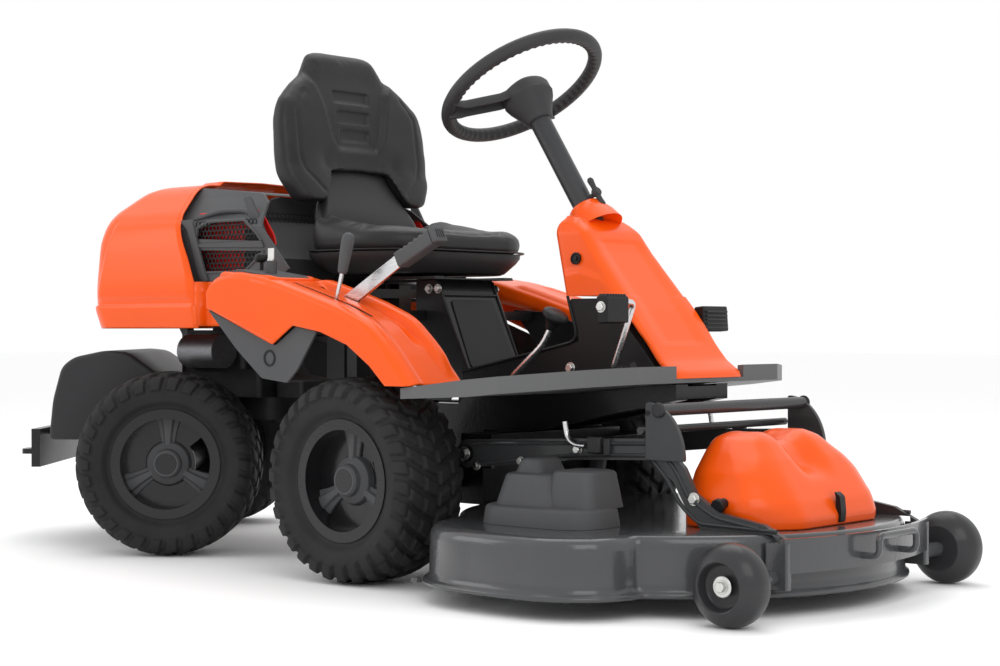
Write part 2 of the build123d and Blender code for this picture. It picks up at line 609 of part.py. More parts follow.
fan_radius = 112.0
with BuildPart() as engine_fan:
    rod((engine_x, 0, 566), (engine_x, 0, 572), fan_radius)
    rod((engine_x, 0, 572), (engine_x, 0, 612), 34)
    for blade in range(12):
        vane = Plane.XY.offset(572).rotated((0, 0, blade * 30))
        with BuildSketch(Plane(origin=(engine_x, 0, 572), x_dir=vane.x_dir, z_dir=(0, 0, 1))) as vane_plan:
            with Locations((70, 0)):
                Rectangle(76, 5)
        extrude(vane_plan.sketch, amount=26)
    rod((engine_x, 0, 560), (engine_x, 0, 614), 10 + bore_fit, mode=Mode.SUBTRACT)
pieces["engine_fan"] = engine_fan

with BuildPart() as muffler:
    rod((-740, -190, 450), (-620, -190, 450), 38)
    rod((-700, -190, 450), (-700, -150, 450), 14)
pieces["muffler"] = muffler

cowl_side = [(-468, 565), (-468, 792), (-450, 792), (-438, 737), (-352, 652), (-345, 565)]
with BuildPart() as intake_cowl:
    side_prism(cowl_side, -cowl_half, cowl_half)
    side_prism([(-480, 540), (-480, 787), (-455, 787), (-444, 735), (-358, 650), (-358, 540)],
               -cowl_half + panel_wall, cowl_half - panel_wall, mode=Mode.SUBTRACT)
    front_prism(mirrored([(cowl_half, 500), (cowl_half, 714), (200, 786), (150, 798)]), -500, -300, mode=Mode.INTERSECT)
    for side in (-1, 1):
        legs = sorted([side * rail_inner, side * (rail_outer - 6)])
        block((-400, -345), legs, (rail_high, 640))
pieces["intake_cowl"] = intake_cowl

# ---- mower deck: shell, frame, covers
side_lobe_radius = blade_radius + 35.0
front_lobe_radius = 150.0


def deck_outline(low, high, shrink, mode=Mode.ADD):
    """The deck's plan, drawn in by a given amount, raised from one height to another."""
    level = Plane.XY.offset(low)
    side_circles = []
    front_circles = []
    for side in (-1, 1):
        side_circles += [
            Edge.make_circle(side_lobe_radius - shrink, Plane(origin=(side_blade_x, side * side_blade_y, low))),
            Edge.make_circle(front_lobe_radius - shrink,
                             Plane(origin=(side_blade_x + 130, side * (side_blade_y + 75), low))),
        ]
        front_circles += [
            Edge.make_circle(side_lobe_radius - shrink, Plane(origin=(centre_blade_x, side * 90, low))),
            Edge.make_circle(side_lobe_radius - shrink, Plane(origin=(side_blade_x, side * 90, low))),
        ]
    with BuildSketch(level) as lobes:
        make_hull(side_circles)
    with BuildSketch(level) as nose:
        make_hull(front_circles)
    extrude(lobes.sketch, amount=high - low, mode=mode)
    extrude(nose.sketch, amount=high - low, mode=mode)


blade_places = {
    "right": (side_blade_x, -side_blade_y), "left": (side_blade_x, side_blade_y), "centre": (centre_blade_x, 0.0),
}
with BuildPart() as deck_shell:
    deck_outline(deck_low, deck_low + lip_height, 0)
    deck_outline(deck_low, deck_top, lip_width)
    deck_outline(deck_low, deck_top - deck_wall, lip_width + deck_wall, Mode.SUBTRACT)
    for x, y in blade_places.values():
        rod((x, y, deck_top - 20), (x, y, deck_top + 1), spindle_radius + 2, mode=Mode.SUBTRACT)
pieces["deck_shell"] = deck_shell

arm_top = [(arm_pivot_x, arm_pivot_z + 28), (442, 295), (627, 302), (683, 251), (707, 206), (758, 175), (852, 160),
           (903, 135)]
arm_low = [(903, 84), (890, 84), (886, deck_top + running_gap), (720, deck_top + running_gap), (690, 175),
           (660, 225), (610, 262), (442, 255), (arm_pivot_x, arm_pivot_z - 28)]
with BuildPart() as deck_frame:
    for side in (-1, 1):
        arm = sorted([side * arm_inner, side * arm_outer])
        side_prism(arm_top + arm_low, *arm)
        rod((arm_pivot_x, side * arm_inner, arm_pivot_z), (arm_pivot_x, side * arm_outer, arm_pivot_z), 28)
        rod((arm_pivot_x, side * (arm_inner - 1), arm_pivot_z), (arm_pivot_x, side * (arm_outer + 1), arm_pivot_z),
            arm_pin_radius + bore_fit, mode=Mode.SUBTRACT)
    rod((340, -arm_inner - 1, 270), (340, arm_inner + 1, 270), 16)
pieces["deck_frame"] = deck_frame

bracket_inner = arm_outer + running_gap
with BuildPart() as lift_tube:
    rod((lift_tube_x, -bracket_inner - 8, lift_tube_z), (lift_tube_x, bracket_inner + 8, lift_tube_z),
        lift_tube_radius)
    for side in (-1, 1):
        side_prism([(590, 262), (590, 330), (606, 356), (632, 370), (662, 352), (690, 300), (690, 250)],
                   *sorted([side * bracket_inner, side * (bracket_inner + 8)]), corner=6)
    rod((592, -bracket_inner - 8, 315), (592, bracket_inner + 8, 315), 7)
    for side in (-1, 1):
        block((560, 606), sorted([side * bracket_inner, side * (bracket_inner + 8)]), (300, 330))
pieces["lift_tube"] = lift_tube

cover_side = [(636, deck_top + running_gap), (642, 277), (655, 300), (700, 311), (748, 311), (800, 262), (852, 190),
              (868, 160), (868, deck_top + running_gap)]
cover_face = mirrored([(206, 130), (202, 190), (186, 240), (112, 308), (70, 308), (34, 292)])
cover_plan = mirrored_plan([(600, 206), (790, 206), (828, 170), (868, 70)])
with BuildPart() as belt_cover:
    side_prism(cover_side, -220, 220)
    front_prism(cover_face, 600, 900, mode=Mode.INTERSECT)
    plan_prism(cover_plan, 100, 400, mode=Mode.INTERSECT)
    with BuildPart(mode=Mode.PRIVATE) as hollow:
        side_prism(cover_side, -220, 220, inset=panel_wall)
        block((640, 862), (-202, 202), (100, 200))
        block((600, 700), (-198, 198), (100, 250))
        front_prism(cover_face, 600, 900, inset=panel_wall, mode=Mode.INTERSECT)
        plan_prism(cover_plan, 100, 400, inset=panel_wall, mode=Mode.INTERSECT)
    add(hollow.part, mode=Mode.SUBTRACT)
pieces["belt_cover"] = belt_cover

shield_low = deck_top + running_gap
with BuildPart() as belt_shields:
    for side in (-1, 1):
        shield = sorted([side * (arm_outer + 14), side * (side_blade_y + 92)])
        step = sorted([side * (arm_outer + 14), side * (side_blade_y + 62)])
        hollow_y = sorted([side * (arm_outer + 18), side * (side_blade_y + 88)])
        step_y = sorted([side * (arm_outer + 18), side * (side_blade_y + 58)])
        block((side_blade_x - 100, side_blade_x + 150), shield, (shield_low, 176), corner=16)
        block((side_blade_x - 74, side_blade_x + 120), step, (170, 240), corner=14)
        block((side_blade_x - 96, side_blade_x + 146), hollow_y, (shield_low, 172), corner=12, mode=Mode.SUBTRACT)
        block((side_blade_x - 70, side_blade_x + 116), step_y, (160, 236), corner=12, mode=Mode.SUBTRACT)
pieces["belt_shields"] = belt_shields

with BuildPart() as spindle_housings:
    for x, y in blade_places.values():
        turned_up([(spindle_radius + bore_fit, shield_low), (66, shield_low), (66, 151), (40, 156), (34, 192),
                   (spindle_radius + bore_fit, 192)], x, y)
pieces["spindle_housings"] = spindle_housings

for place, (x, y) in blade_places.items():
    with BuildPart() as blade:
        block((x - blade_width / 2, x + blade_width / 2), (y - blade_radius + 5, y + blade_radius - 5),
              (blade_low, blade_low + blade_thickness))
        rod((x, y, blade_low - 10), (x, y, blade_low), 16)
        for end in (-1, 1):
            tip = sorted([y + end * (blade_radius - 60), y + end * (blade_radius - 5)])
            wing = sorted([x + end * blade_width / 2, x + end * (blade_width / 2 - 6)])
            block(wing, tip, (blade_low, blade_low + 22))
    pieces["blade_" + place] = blade

    with BuildPart() as spindle:
        rod((x, y, blade_low + blade_thickness), (x, y, 226), spindle_radius)
        rod((x, y, blade_low + blade_thickness), (x, y, deck_top - deck_wall - 14), 26)
        turned_up([(0, 198), (pulley_radius, 198), (pulley_radius, 202), (pulley_radius - 10, 209),
                   (pulley_radius, 216), (pulley_radius, 220), (0, 220)], x, y)
    pieces["spindle_" + place] = spindle

# ---- deck nose: guard bar and two support wheels
dish = deck_wheel_width / 2
bow_half = arm_outer + 18.0
bow_end_x = 908.0
with BuildPart() as front_bar:
    with BuildSketch(Plane.XY.offset(bar_low)) as bow:
        with BuildLine():
            outer = ThreePointArc((bow_end_x, -bow_half), (bar_reach, 0), (bow_end_x, bow_half))
            inner = ThreePointArc((bow_end_x - 9, -bow_half), (bar_reach - 8, 0), (bow_end_x - 9, bow_half))
            Line(outer @ 0, inner @ 0)
            Line(outer @ 1, inner @ 1)
        make_face()
    extrude(bow.sketch, amount=bar_high - bar_low)
    for side in (-1, 1):
        block((866, 912), sorted([side * (arm_outer + running_gap), side * bow_half]), (deck_wheel_radius - 20, 132),
              corner=5)
        rod(*[(deck_wheel_x, side * y, deck_wheel_radius) for y in (bow_half - 6, deck_wheel_y + 18)],
            deck_axle_radius)
        rod(*[(deck_wheel_x, side * y, deck_wheel_radius) for y in (bow_half - 1, deck_wheel_y - dish - running_gap)],
            14)
        rod(*[(deck_wheel_x, side * y, deck_wheel_radius) for y in (deck_wheel_y + 18, deck_wheel_y + 27)], 14)
    bent_rod([(948, -66, 100), (985, -66, 100), (985, -66, 136), (985, 66, 136), (985, 66, 100), (948, 66, 100)],
             6, 12)
pieces["front_bar"] = front_bar

for place, side in (("right", -1), ("left", 1)):
    with BuildPart() as deck_wheel:
        turned([(deck_axle_radius + bore_fit, -dish), (46, -dish), (63, -dish + 10), (deck_wheel_radius, -12),
                (deck_wheel_radius, 12), (66, dish - 8), (56, dish), (47, dish), (38, 18 - running_gap),
                (deck_axle_radius + bore_fit, 18 - running_gap)],
               (deck_wheel_x, side * deck_wheel_y, deck_wheel_radius), side)
    pieces["deck_wheel_" + place] = deck_wheel

# ---- pedals and levers
pedal_radius = 6.0
pedal_pad_radius = 26.0
pedal_root_y = tunnel_half + running_gap
with BuildPart() as forward_pedal:
    bent_rod([(263, -pedal_root_y, 404), (263, -225, 404), (345, -225, 470), (378, -225, 528)], pedal_radius, 14)
    rod((366, -225, 508), (390, -225, 548), pedal_pad_radius)
pieces["forward_pedal"] = forward_pedal

with BuildPart() as reverse_pedal:
    bent_rod([(458, -pedal_root_y, 424), (458, -150, 424), (511, -150, 553), (511, -196, 553)], pedal_radius, 12)
    side_prism([(500, 510), (498, 562), (522, 566), (524, 512)], -254, -186)
pieces["reverse_pedal"] = reverse_pedal

with BuildPart() as brake_pedal:
    bent_rod([(440, pedal_root_y, 440), (440, 134, 440), (470, 140, 512), (470, 180, 524)], pedal_radius, 10)
    side_prism([(464, 494), (460, 546), (484, 548), (488, 496)], 112.5, 198)
pieces["brake_pedal"] = brake_pedal

lever_pivot = (-130.0, lift_lever_y, 520.0)
with BuildPart() as lift_lever:
    side_prism([(-138, 506), (-122, 504), (118, 640), (108, 660), (-142, 530)], lift_lever_y - 4, lift_lever_y + 4)
    side_prism([(92, 622), (80, 650), (178, 700), (192, 674)], lift_lever_y - 17, lift_lever_y + 17)
    rod(lever_pivot, (lever_pivot[0], -fender_in - plate_thickness - running_gap, lever_pivot[2]), 8)
pieces["lift_lever"] = lift_lever

height_pivot = (-60.0, height_lever_y, 512.0)
with BuildPart() as height_lever:
    rod(height_pivot, (-26, height_lever_y, 622), 4)
    rod((-29, height_lever_y, 612), (-9, height_lever_y, 690), 13)
    rod(height_pivot, (height_pivot[0], -fender_out + fender_wall + running_gap, height_pivot[2]), 6)
pieces["height_lever"] = height_lever

with BuildPart() as throttle_lever:
    rod((-306, -366 + running_gap, 606), (-306, -352 - running_gap, 606), 14)
    rod((-306, -359, 606), (-306, -359, 640), 4)
    rod((-306, -359, 640), (-306, -359, 658), 15)
pieces["throttle_lever"] = throttle_lever

with BuildPart() as ignition_key:
    rod((-240, -392, 640 + running_gap), (-240, -392, 646), 8)
    block((-250, -230), (-393.5, -390.5), (646, 668))
pieces["ignition_key"] = ignition_key

knob_root = Vector(*column_base) + (Vector(*column_head) - Vector(*column_base)) * 0.52
knob_way = Vector(0, 1, 0).cross(axis_way)
knob_bar_half = 34.0
with BuildPart() as column_knob:
    rod(knob_root + knob_way * (column_radius + running_gap), knob_root + knob_way * 36, 5)
    rod(knob_root + knob_way * 34, knob_root + knob_way * 46, 10)
    rod(knob_root + knob_way * 41 - axis_way * knob_bar_half, knob_root + knob_way * 41 + axis_way * knob_bar_half, 6)
pieces["column_knob"] = column_knob

# ---- centre the machine over its own footprint and write one file per piece
whole = Compound(children=[Compound(piece.part.wrapped) for piece in pieces.values()]).bounding_box()
shift_x = -(whole.min.X + whole.max.X) / 2
shift_y = -(whole.min.Y + whole.max.Y) / 2
shift = Location((shift_x, shift_y, -whole.min.Z))
os.makedirs("parts", exist_ok=True)
for name, piece in pieces.items():
    piece.part = piece.part.moved(shift)
    piece.part.label = name
    export_step(piece.part, f"parts/{name}.step")
print("shift", round(shift_x, 4), round(shift_y, 4), round(-whole.min.Z, 4))
print("size", whole.size)
print(len(pieces), "pieces")
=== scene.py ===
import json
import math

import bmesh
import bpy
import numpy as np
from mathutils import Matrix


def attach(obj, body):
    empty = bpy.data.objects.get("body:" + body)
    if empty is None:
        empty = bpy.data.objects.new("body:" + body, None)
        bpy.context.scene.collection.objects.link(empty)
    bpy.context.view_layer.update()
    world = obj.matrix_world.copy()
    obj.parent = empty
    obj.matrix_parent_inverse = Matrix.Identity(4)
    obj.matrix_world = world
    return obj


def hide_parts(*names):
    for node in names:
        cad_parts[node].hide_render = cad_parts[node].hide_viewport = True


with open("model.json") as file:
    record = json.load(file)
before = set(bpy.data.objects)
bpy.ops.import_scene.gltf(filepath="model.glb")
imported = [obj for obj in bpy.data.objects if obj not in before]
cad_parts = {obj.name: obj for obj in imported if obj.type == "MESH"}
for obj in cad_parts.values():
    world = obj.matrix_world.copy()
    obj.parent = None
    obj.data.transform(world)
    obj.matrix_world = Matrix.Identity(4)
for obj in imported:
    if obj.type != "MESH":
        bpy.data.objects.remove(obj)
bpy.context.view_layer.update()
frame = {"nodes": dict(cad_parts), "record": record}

# %% [markdown]
# This lesson dresses a ride-on lawn mower. The engineering model is already loaded as a frame that
# never moves, and each step below adds the surface that the eye sees: pressed panels, moulded
# covers, tyres, a padded seat. Every new piece rides on a body of the frame, so it moves with it.
# We start with the front axle, because every position in this lesson is counted in millimetres from the
# ground below it.

joints = {joint["name"]: joint for joint in frame["record"]["behaviour"]["joints"]}
front_axle_x = joints["front_wheel_right"]["pos_m"][0]


def place(points):
    """Millimetres from the ground below the front axle, turned into the frame's metres."""
    return np.asarray(points, float) * 0.001 + np.array([front_axle_x, 0.0, 0.0])


def joint_at(name):
    """A joint's place in millimetres from the ground below the front axle."""
    return (np.array(joints[name]["pos_m"]) - [front_axle_x, 0.0, 0.0]) * 1000.0


# %% [markdown]
# The camera comes before any shape. It stands low, level and far off to the front right, with a long
# lens, so the machine is shown with little perspective. A level camera keeps uprights upright; the
# small vertical shift lowers the frame a touch without tilting the lens.

# %% The camera
camera = bpy.data.objects.new("camera", bpy.data.cameras.new("camera"))
bpy.context.collection.objects.link(camera)
heading = math.radians(41.0)
camera.location = place((2700.6, -3058.6, 503.0))
camera.rotation_euler = (math.radians(90.0), 0.0, heading)
camera.data.lens = 69.12
camera.data.sensor_width = 36.0
camera.data.shift_y = -0.005
camera.data.clip_end = 100.0
bpy.context.scene.camera = camera
print("camera", np.round(np.array(camera.location), 3).tolist())

# %% [markdown]
# A studio is mostly soft light. One pale world gives an even fill from all sides, a broad lamp above
# and behind brightens everything that faces up, and a second lamp by the camera puts long soft
# streaks on the glossy panels. The floor is a plain pale sheet that only has to catch the shadow.

# %% Floor, world and lamps
def lamp(name, where, aim, size, power):
    """A square lamp at a place, turned to face the point aim."""
    light = bpy.data.lights.new(name, "AREA")
    light.shape = "SQUARE"
    light.size = size
    light.energy = power
    holder = bpy.data.objects.new(name, light)
    bpy.context.collection.objects.link(holder)
    holder.location = where
    way = np.array(aim, float) - np.array(where, float)
    flat = math.hypot(way[0], way[1])
    holder.rotation_euler = (math.atan2(flat, -way[2]), 0.0, math.atan2(way[1], way[0]) - math.pi / 2)
    return holder


lamp("lamp_above", (-0.6, 0.9, 4.2), (0.0, 0.0, 0.5), 3.4, 60.0)
lamp("lamp_camera_side", (3.4, -2.2, 2.6), (0.1, 0.0, 0.4), 2.2, 34.0)
lamp("lamp_left", (-3.2, -3.0, 2.2), (0.0, 0.0, 0.4), 2.0, 24.0)
world = bpy.data.worlds.new("studio")
world.use_nodes = True
world.node_tree.nodes["Background"].inputs["Color"].default_value = (1.0, 1.0, 1.0, 1.0)
world.node_tree.nodes["Background"].inputs["Strength"].default_value = 1.0
bpy.context.scene.world = world
bpy.context.scene.view_settings.view_transform = "Standard"

floor_mesh = bpy.data.meshes.new("floor")
floor_mesh.from_pydata([(-30, -30, 0), (30, -30, 0), (30, 30, 0), (-30, 30, 0)], [], [(0, 1, 2, 3)])
floor = bpy.data.objects.new("floor", floor_mesh)
bpy.context.collection.objects.link(floor)

# %% [markdown]
# Finishes are node materials, and a pattern is easiest to read as arithmetic. The small class below
# wraps a socket, so that noise * 0.2 + 0.4 adds its own Math nodes. A finish owns one shader, and a
# single method adds any other node: its kind, its settings, and what goes into its sockets. Patterns
# are laid out on Object coordinates, which are metres on this machine, so a scale of 400 gives
# grains 2.5 mm apart.

# %% Shader arithmetic
class Value:
    """A socket of a material that can be added, multiplied and compared like a number."""

    def __init__(self, finish, socket):
        self.finish = finish
        self.socket = socket

    def combine(self, operation, first, second):
        return self.finish.add("ShaderNodeMath", {"operation": operation}, {0: first, 1: second})

    def __add__(self, other):
        return self.combine("ADD", self, other)

    def __sub__(self, other):
        return self.combine("SUBTRACT", self, other)

    def __mul__(self, other):
        return self.combine("MULTIPLY", self, other)

    def __rsub__(self, other):
        return self.combine("SUBTRACT", other, self)

    def __gt__(self, other):
        return self.combine("GREATER_THAN", self, other)

    __radd__ = __add__
    __rmul__ = __mul__


class Finish:
    """A material with one shader, whose patterns are written as sums and products."""

    def __init__(self, name, colour, roughness, metallic=0.0, coat=0.0, coat_roughness=0.1, specular=0.22):
        self.material = bpy.data.materials.new(name)
        self.material.use_nodes = True
        self.tree = self.material.node_tree
        self.shader = self.tree.nodes["Principled BSDF"]
        self.shader.inputs["Base Color"].default_value = (*colour, 1.0)
        self.shader.inputs["Roughness"].default_value = roughness
        self.shader.inputs["Metallic"].default_value = metallic
        self.shader.inputs["Specular IOR Level"].default_value = 0.5 if metallic else specular
        self.shader.inputs["Coat Weight"].default_value = coat
        self.shader.inputs["Coat Roughness"].default_value = coat_roughness
        self.places = self.add("ShaderNodeTexCoord", {}, {}, "Object")

    def add(self, kind, settings, sockets, out=0):
        """One node of a kind: its settings first, then a value or a link for each socket."""
        node = self.tree.nodes.new(kind)
        for key, value in settings.items():
            if key == "stops":
                node.color_ramp.elements[0].position = value[0][0]
                node.color_ramp.elements[0].color = value[0][1]
                node.color_ramp.elements[1].position = value[-1][0]
                node.color_ramp.elements[1].color = value[-1][1]
                for stop in value[1:-1]:
                    node.color_ramp.elements.new(stop[0]).color = stop[1]
            else:
                setattr(node, key, value)
        for key, value in sockets.items():
            if isinstance(value, Value):
                self.tree.links.new(value.socket, node.inputs[key])
            else:
                node.inputs[key].default_value = value
        return Value(self, node.outputs[out])

    def noise(self, scale, detail=3.0, stretch=(1, 1, 1)):
        """Cloudy noise from 0 to 1, with cells 1 / scale metres apart."""
        place_in = self.add("ShaderNodeMapping", {}, {"Vector": self.places, "Scale": stretch})
        return self.add("ShaderNodeTexNoise", {}, {"Vector": place_in, "Scale": scale, "Detail": detail}, 0)

    def cells(self, scale, feature="F1", out="Distance"):
        """Distance to the nearest of many scattered points."""
        return self.add("ShaderNodeTexVoronoi", {"feature": feature},
                        {"Vector": self.places, "Scale": scale}, out)

    def between(self, low, high, amount):
        """A colour between two colours, as amount goes from 0 to 1."""
        ramp = [(0.0, (*low, 1.0)), (1.0, (*high, 1.0))]
        return self.add("ShaderNodeValToRGB", {"stops": ramp}, {"Fac": amount})

    def feed(self, socket, value):
        self.tree.links.new(value.socket, self.shader.inputs[socket])

    def bump(self, height, depth, strength=1.0):
        """Raises the surface by height, times a depth in metres."""
        self.feed("Normal",
                  self.add("ShaderNodeBump", {},
                           {"Height": height, "Distance": depth, "Strength": strength}))


def spread(finish, middle, width, scale):
    """Roughness that drifts slowly round a middle value, as hands and dust leave it."""
    finish.feed("Roughness", finish.noise(scale) * width + (middle - width / 2))


print("shader arithmetic ready")

# %% [markdown]
# The mower is nearly all painted or moulded. Orange panels are dyed plastic under a clear shine, so
# their colour shifts only a little and a coat layer gives the gloss. Grey covers come from a grained
# mould: a fine noise in the bump and a rough shader do it. Paint on pressed steel is smoother, with the
# slow ripple that powder coat has. Wear and dust enter as noise on roughness and a faint lift in colour.

# %% Plastic, paint and rubber
def moulded(name, dark, light, roughness, grain, depth, coat=0.0):
    """Plastic from a grained mould: fine noise in the bump, slow noise in colour and shine."""
    finish = Finish(name, dark, roughness, coat=coat)
    finish.feed("Base Color", finish.between(dark, light, finish.noise(6.0, 4.0)))
    spread(finish, roughness, 0.1, 9.0)
    finish.bump(finish.noise(grain, 2.0), depth)
    return finish.material


orange = moulded("orange_plastic", (0.80, 0.082, 0.002), (0.88, 0.098, 0.003), 0.3, 260.0, 0.00008, 0.12)
grey = moulded("grey_plastic", (0.060, 0.061, 0.064), (0.080, 0.081, 0.084), 0.5, 1500.0, 0.0003)
charcoal = moulded("charcoal_plastic", (0.024, 0.024, 0.026), (0.034, 0.034, 0.036), 0.48, 1500.0, 0.0003)
black = moulded("black_plastic", (0.006, 0.006, 0.007), (0.011, 0.011, 0.012), 0.38, 1300.0, 0.0002)
floor_grey = moulded("floor_edge_paint", (0.098, 0.099, 0.101), (0.118, 0.119, 0.121), 0.46, 700.0, 0.00015,
                     0.1)
nylon = moulded("nylon_wheel", (0.024, 0.024, 0.026), (0.034, 0.034, 0.036), 0.34, 500.0, 0.0001, 0.15)
red = moulded("red_plastic", (0.55, 0.012, 0.008), (0.66, 0.016, 0.010), 0.35, 500.0, 0.0001, 0.2)


def powder_coat(name, dark, light, roughness, coat):
    """Powder coat on steel: a slow ripple like orange peel, and a clear shine over it."""
    finish = Finish(name, dark, roughness, coat=coat, coat_roughness=0.12)
    finish.feed("Base Color", finish.between(dark, light, finish.noise(5.0, 5.0)))
    spread(finish, roughness, 0.12, 7.0)
    finish.bump(finish.noise(170.0, 1.0), 0.0005)
    return finish.material


deck_paint = powder_coat("deck_paint", (0.050, 0.051, 0.054), (0.064, 0.065, 0.068), 0.22, 0.55)
arm_paint = powder_coat("arm_paint", (0.030, 0.031, 0.033), (0.042, 0.043, 0.045), 0.36, 0.2)
frame_paint = powder_coat("frame_paint", (0.006, 0.006, 0.007), (0.012, 0.012, 0.013), 0.34, 0.2)
rim_paint = powder_coat("rim_paint", (0.005, 0.005, 0.006), (0.010, 0.010, 0.011), 0.24, 0.35)

tyre_finish = Finish("tyre_rubber", (0.020, 0.020, 0.021), 0.62)
dust = tyre_finish.noise(22.0, 6.0)
tyre_finish.feed("Base Color", tyre_finish.between((0.012, 0.012, 0.013), (0.026, 0.026, 0.026), dust))
spread(tyre_finish, 0.66, 0.2, 12.0)
tyre_finish.bump(tyre_finish.noise(900.0, 3.0) + tyre_finish.noise(60.0, 2.0) * 0.6, 0.0004)
tyre_rubber = tyre_finish.material

grip_finish = Finish("grip_rubber", (0.055, 0.055, 0.057), 0.5)
grip_finish.feed("Base Color",
                 grip_finish.between((0.032, 0.032, 0.034), (0.046, 0.046, 0.048), grip_finish.noise(8.0)))
spread(grip_finish, 0.5, 0.12, 14.0)
grip_finish.bump(grip_finish.noise(1200.0, 2.0), 0.00025)
grip_rubber = grip_finish.material
print("plastic, paint and rubber ready")

# %% [markdown]
# Bare metal shows how it was made. Drawn rods and zinc-plated bolts are bright, with fine streaks
# along their length, so noise is stretched in one direction. Castings are dull and pitted. The seat
# cover is vinyl: small rounded cells pressed into it, and a soft shine that varies with use.

# %% Metal and vinyl
def bare_metal(name, dark, light, roughness, scale, stretch, depth):
    """Bare metal: streaks of stretched noise in its colour, shine and bump."""
    finish = Finish(name, light, roughness, metallic=1.0)
    streaks = finish.noise(scale, 4.0, stretch)
    finish.feed("Base Color", finish.between(dark, light, streaks))
    finish.feed("Roughness", streaks * 0.2 + (roughness - 0.1))
    finish.bump(streaks, depth)
    return finish.material


steel = bare_metal("bright_steel", (0.52, 0.52, 0.53), (0.78, 0.78, 0.79), 0.28, 60.0, (1, 6, 6), 0.00005)
zinc = bare_metal("zinc_plate", (0.50, 0.50, 0.48), (0.72, 0.72, 0.70), 0.34, 90.0, (1, 1, 1), 0.0001)
casting = bare_metal("casting", (0.030, 0.030, 0.032), (0.075, 0.075, 0.078), 0.62, 240.0, (1, 1, 1), 0.0006)
alloy = bare_metal("engine_alloy", (0.17, 0.17, 0.18), (0.30, 0.30, 0.31), 0.5, 160.0, (1, 1, 1), 0.0003)

vinyl_finish = Finish("seat_vinyl", (0.016, 0.016, 0.017), 0.42, coat=0.12, coat_roughness=0.35)
pebbles = vinyl_finish.cells(420.0, "SMOOTH_F1")
creases = vinyl_finish.noise(14.0, 5.0)
vinyl_finish.feed("Base Color", vinyl_finish.between((0.010, 0.010, 0.011), (0.022, 0.022, 0.024), creases))
vinyl_finish.feed("Roughness", creases * 0.16 + pebbles * 0.1 + 0.32)
vinyl_finish.bump((1.0 - pebbles) * 0.7 + creases * 0.5, 0.0006)
seat_vinyl = vinyl_finish.material

floor_finish = Finish("studio_floor", (0.93, 0.93, 0.93), 0.85)
floor_finish.feed("Base Color",
                  floor_finish.between((0.965, 0.965, 0.965), (0.98, 0.98, 0.98), floor_finish.noise(1.5)))
floor_mesh.materials.append(floor_finish.material)
print("metal and vinyl ready")

# %% [markdown]
# Every new piece is a net of points worked out at once with numpy. Four small tools are enough: an
# outline carried straight, a profile turned about an axle, a round section carried along a path, and a
# stack of closed rings. Each returns points in millimetres and the faces between them, so that several
# can be put together as one piece.

# %% Nets of points
def net(rows, columns, wrap_rows=False, wrap_columns=False):
    """Four-sided faces between the neighbours of a rows x columns net, joined round where asked."""
    row, column = np.meshgrid(np.arange(rows - (not wrap_rows)), np.arange(columns - (not wrap_columns)),
                              indexing="ij")
    row, column = row.ravel(), column.ravel()
    below, beside = (row + 1) % rows, (column + 1) % columns
    corners = [row * columns + column, row * columns + beside, below * columns + beside,
               below * columns + column]
    return np.stack(corners, 1).tolist()


def sheet_of(points):
    """An open surface from a rows x columns x 3 array."""
    return points.reshape(-1, 3), net(*points.shape[:2])


def rings(points, ends=True):
    """A tube from rows of closed rings; the first and last ring are filled in."""
    rows, columns = points.shape[:2]
    faces = net(rows, columns, wrap_columns=True)
    if ends:
        faces.append(list(range(columns))[::-1])
        faces.append(list(range((rows - 1) * columns, rows * columns)))
    return points.reshape(-1, 3), faces


def straight(outline, low, high, axis="y"):
    """An outline carried straight from low to high. axis y reads it as (x, z), z as (x, y), x as (y, z)."""
    outline = np.asarray(outline, float)
    levels = []
    for level in (low, high):
        other = np.full(len(outline), float(level))
        order = {"y": (outline[:, 0], other, outline[:, 1]), "z": (outline[:, 0], outline[:, 1], other),
                 "x": (other, outline[:, 0], outline[:, 1])}[axis]
        levels.append(np.stack(order, 1))
    return rings(np.stack(levels))


def brick(x, y, z):
    """A box between pairs of x, y and z."""
    return straight([(x[0], y[0]), (x[1], y[0]), (x[1], y[1]), (x[0], y[1])], z[0], z[1], "z")


def rounded(corners, radius, closed=True, steps=6):
    """A line of corners, each drawn as the parabola (1-t)^2 start + 2t(1-t) corner + t^2 end."""
    corners = np.asarray(corners, float)
    before, after = np.roll(corners, 1, 0), np.roll(corners, -1, 0)
    if not closed:
        before[0], after[-1] = corners[0], corners[-1]
    reach_in, reach_out = before - corners, after - corners
    length_in = np.maximum(np.linalg.norm(reach_in, axis=1, keepdims=True), 1e-9)
    length_out = np.maximum(np.linalg.norm(reach_out, axis=1, keepdims=True), 1e-9)
    start = corners + reach_in / length_in * np.minimum(radius, length_in * 0.49)
    end = corners + reach_out / length_out * np.minimum(radius, length_out * 0.49)
    t = np.linspace(0, 1, steps)[None, :, None]
    curve = (1 - t) ** 2 * start[:, None] + 2 * t * (1 - t) * corners[:, None] + t ** 2 * end[:, None]
    if not closed:
        return np.concatenate([corners[:1], curve[1:-1].reshape(-1, corners.shape[1]), corners[-1:]])
    return curve.reshape(-1, corners.shape[1])


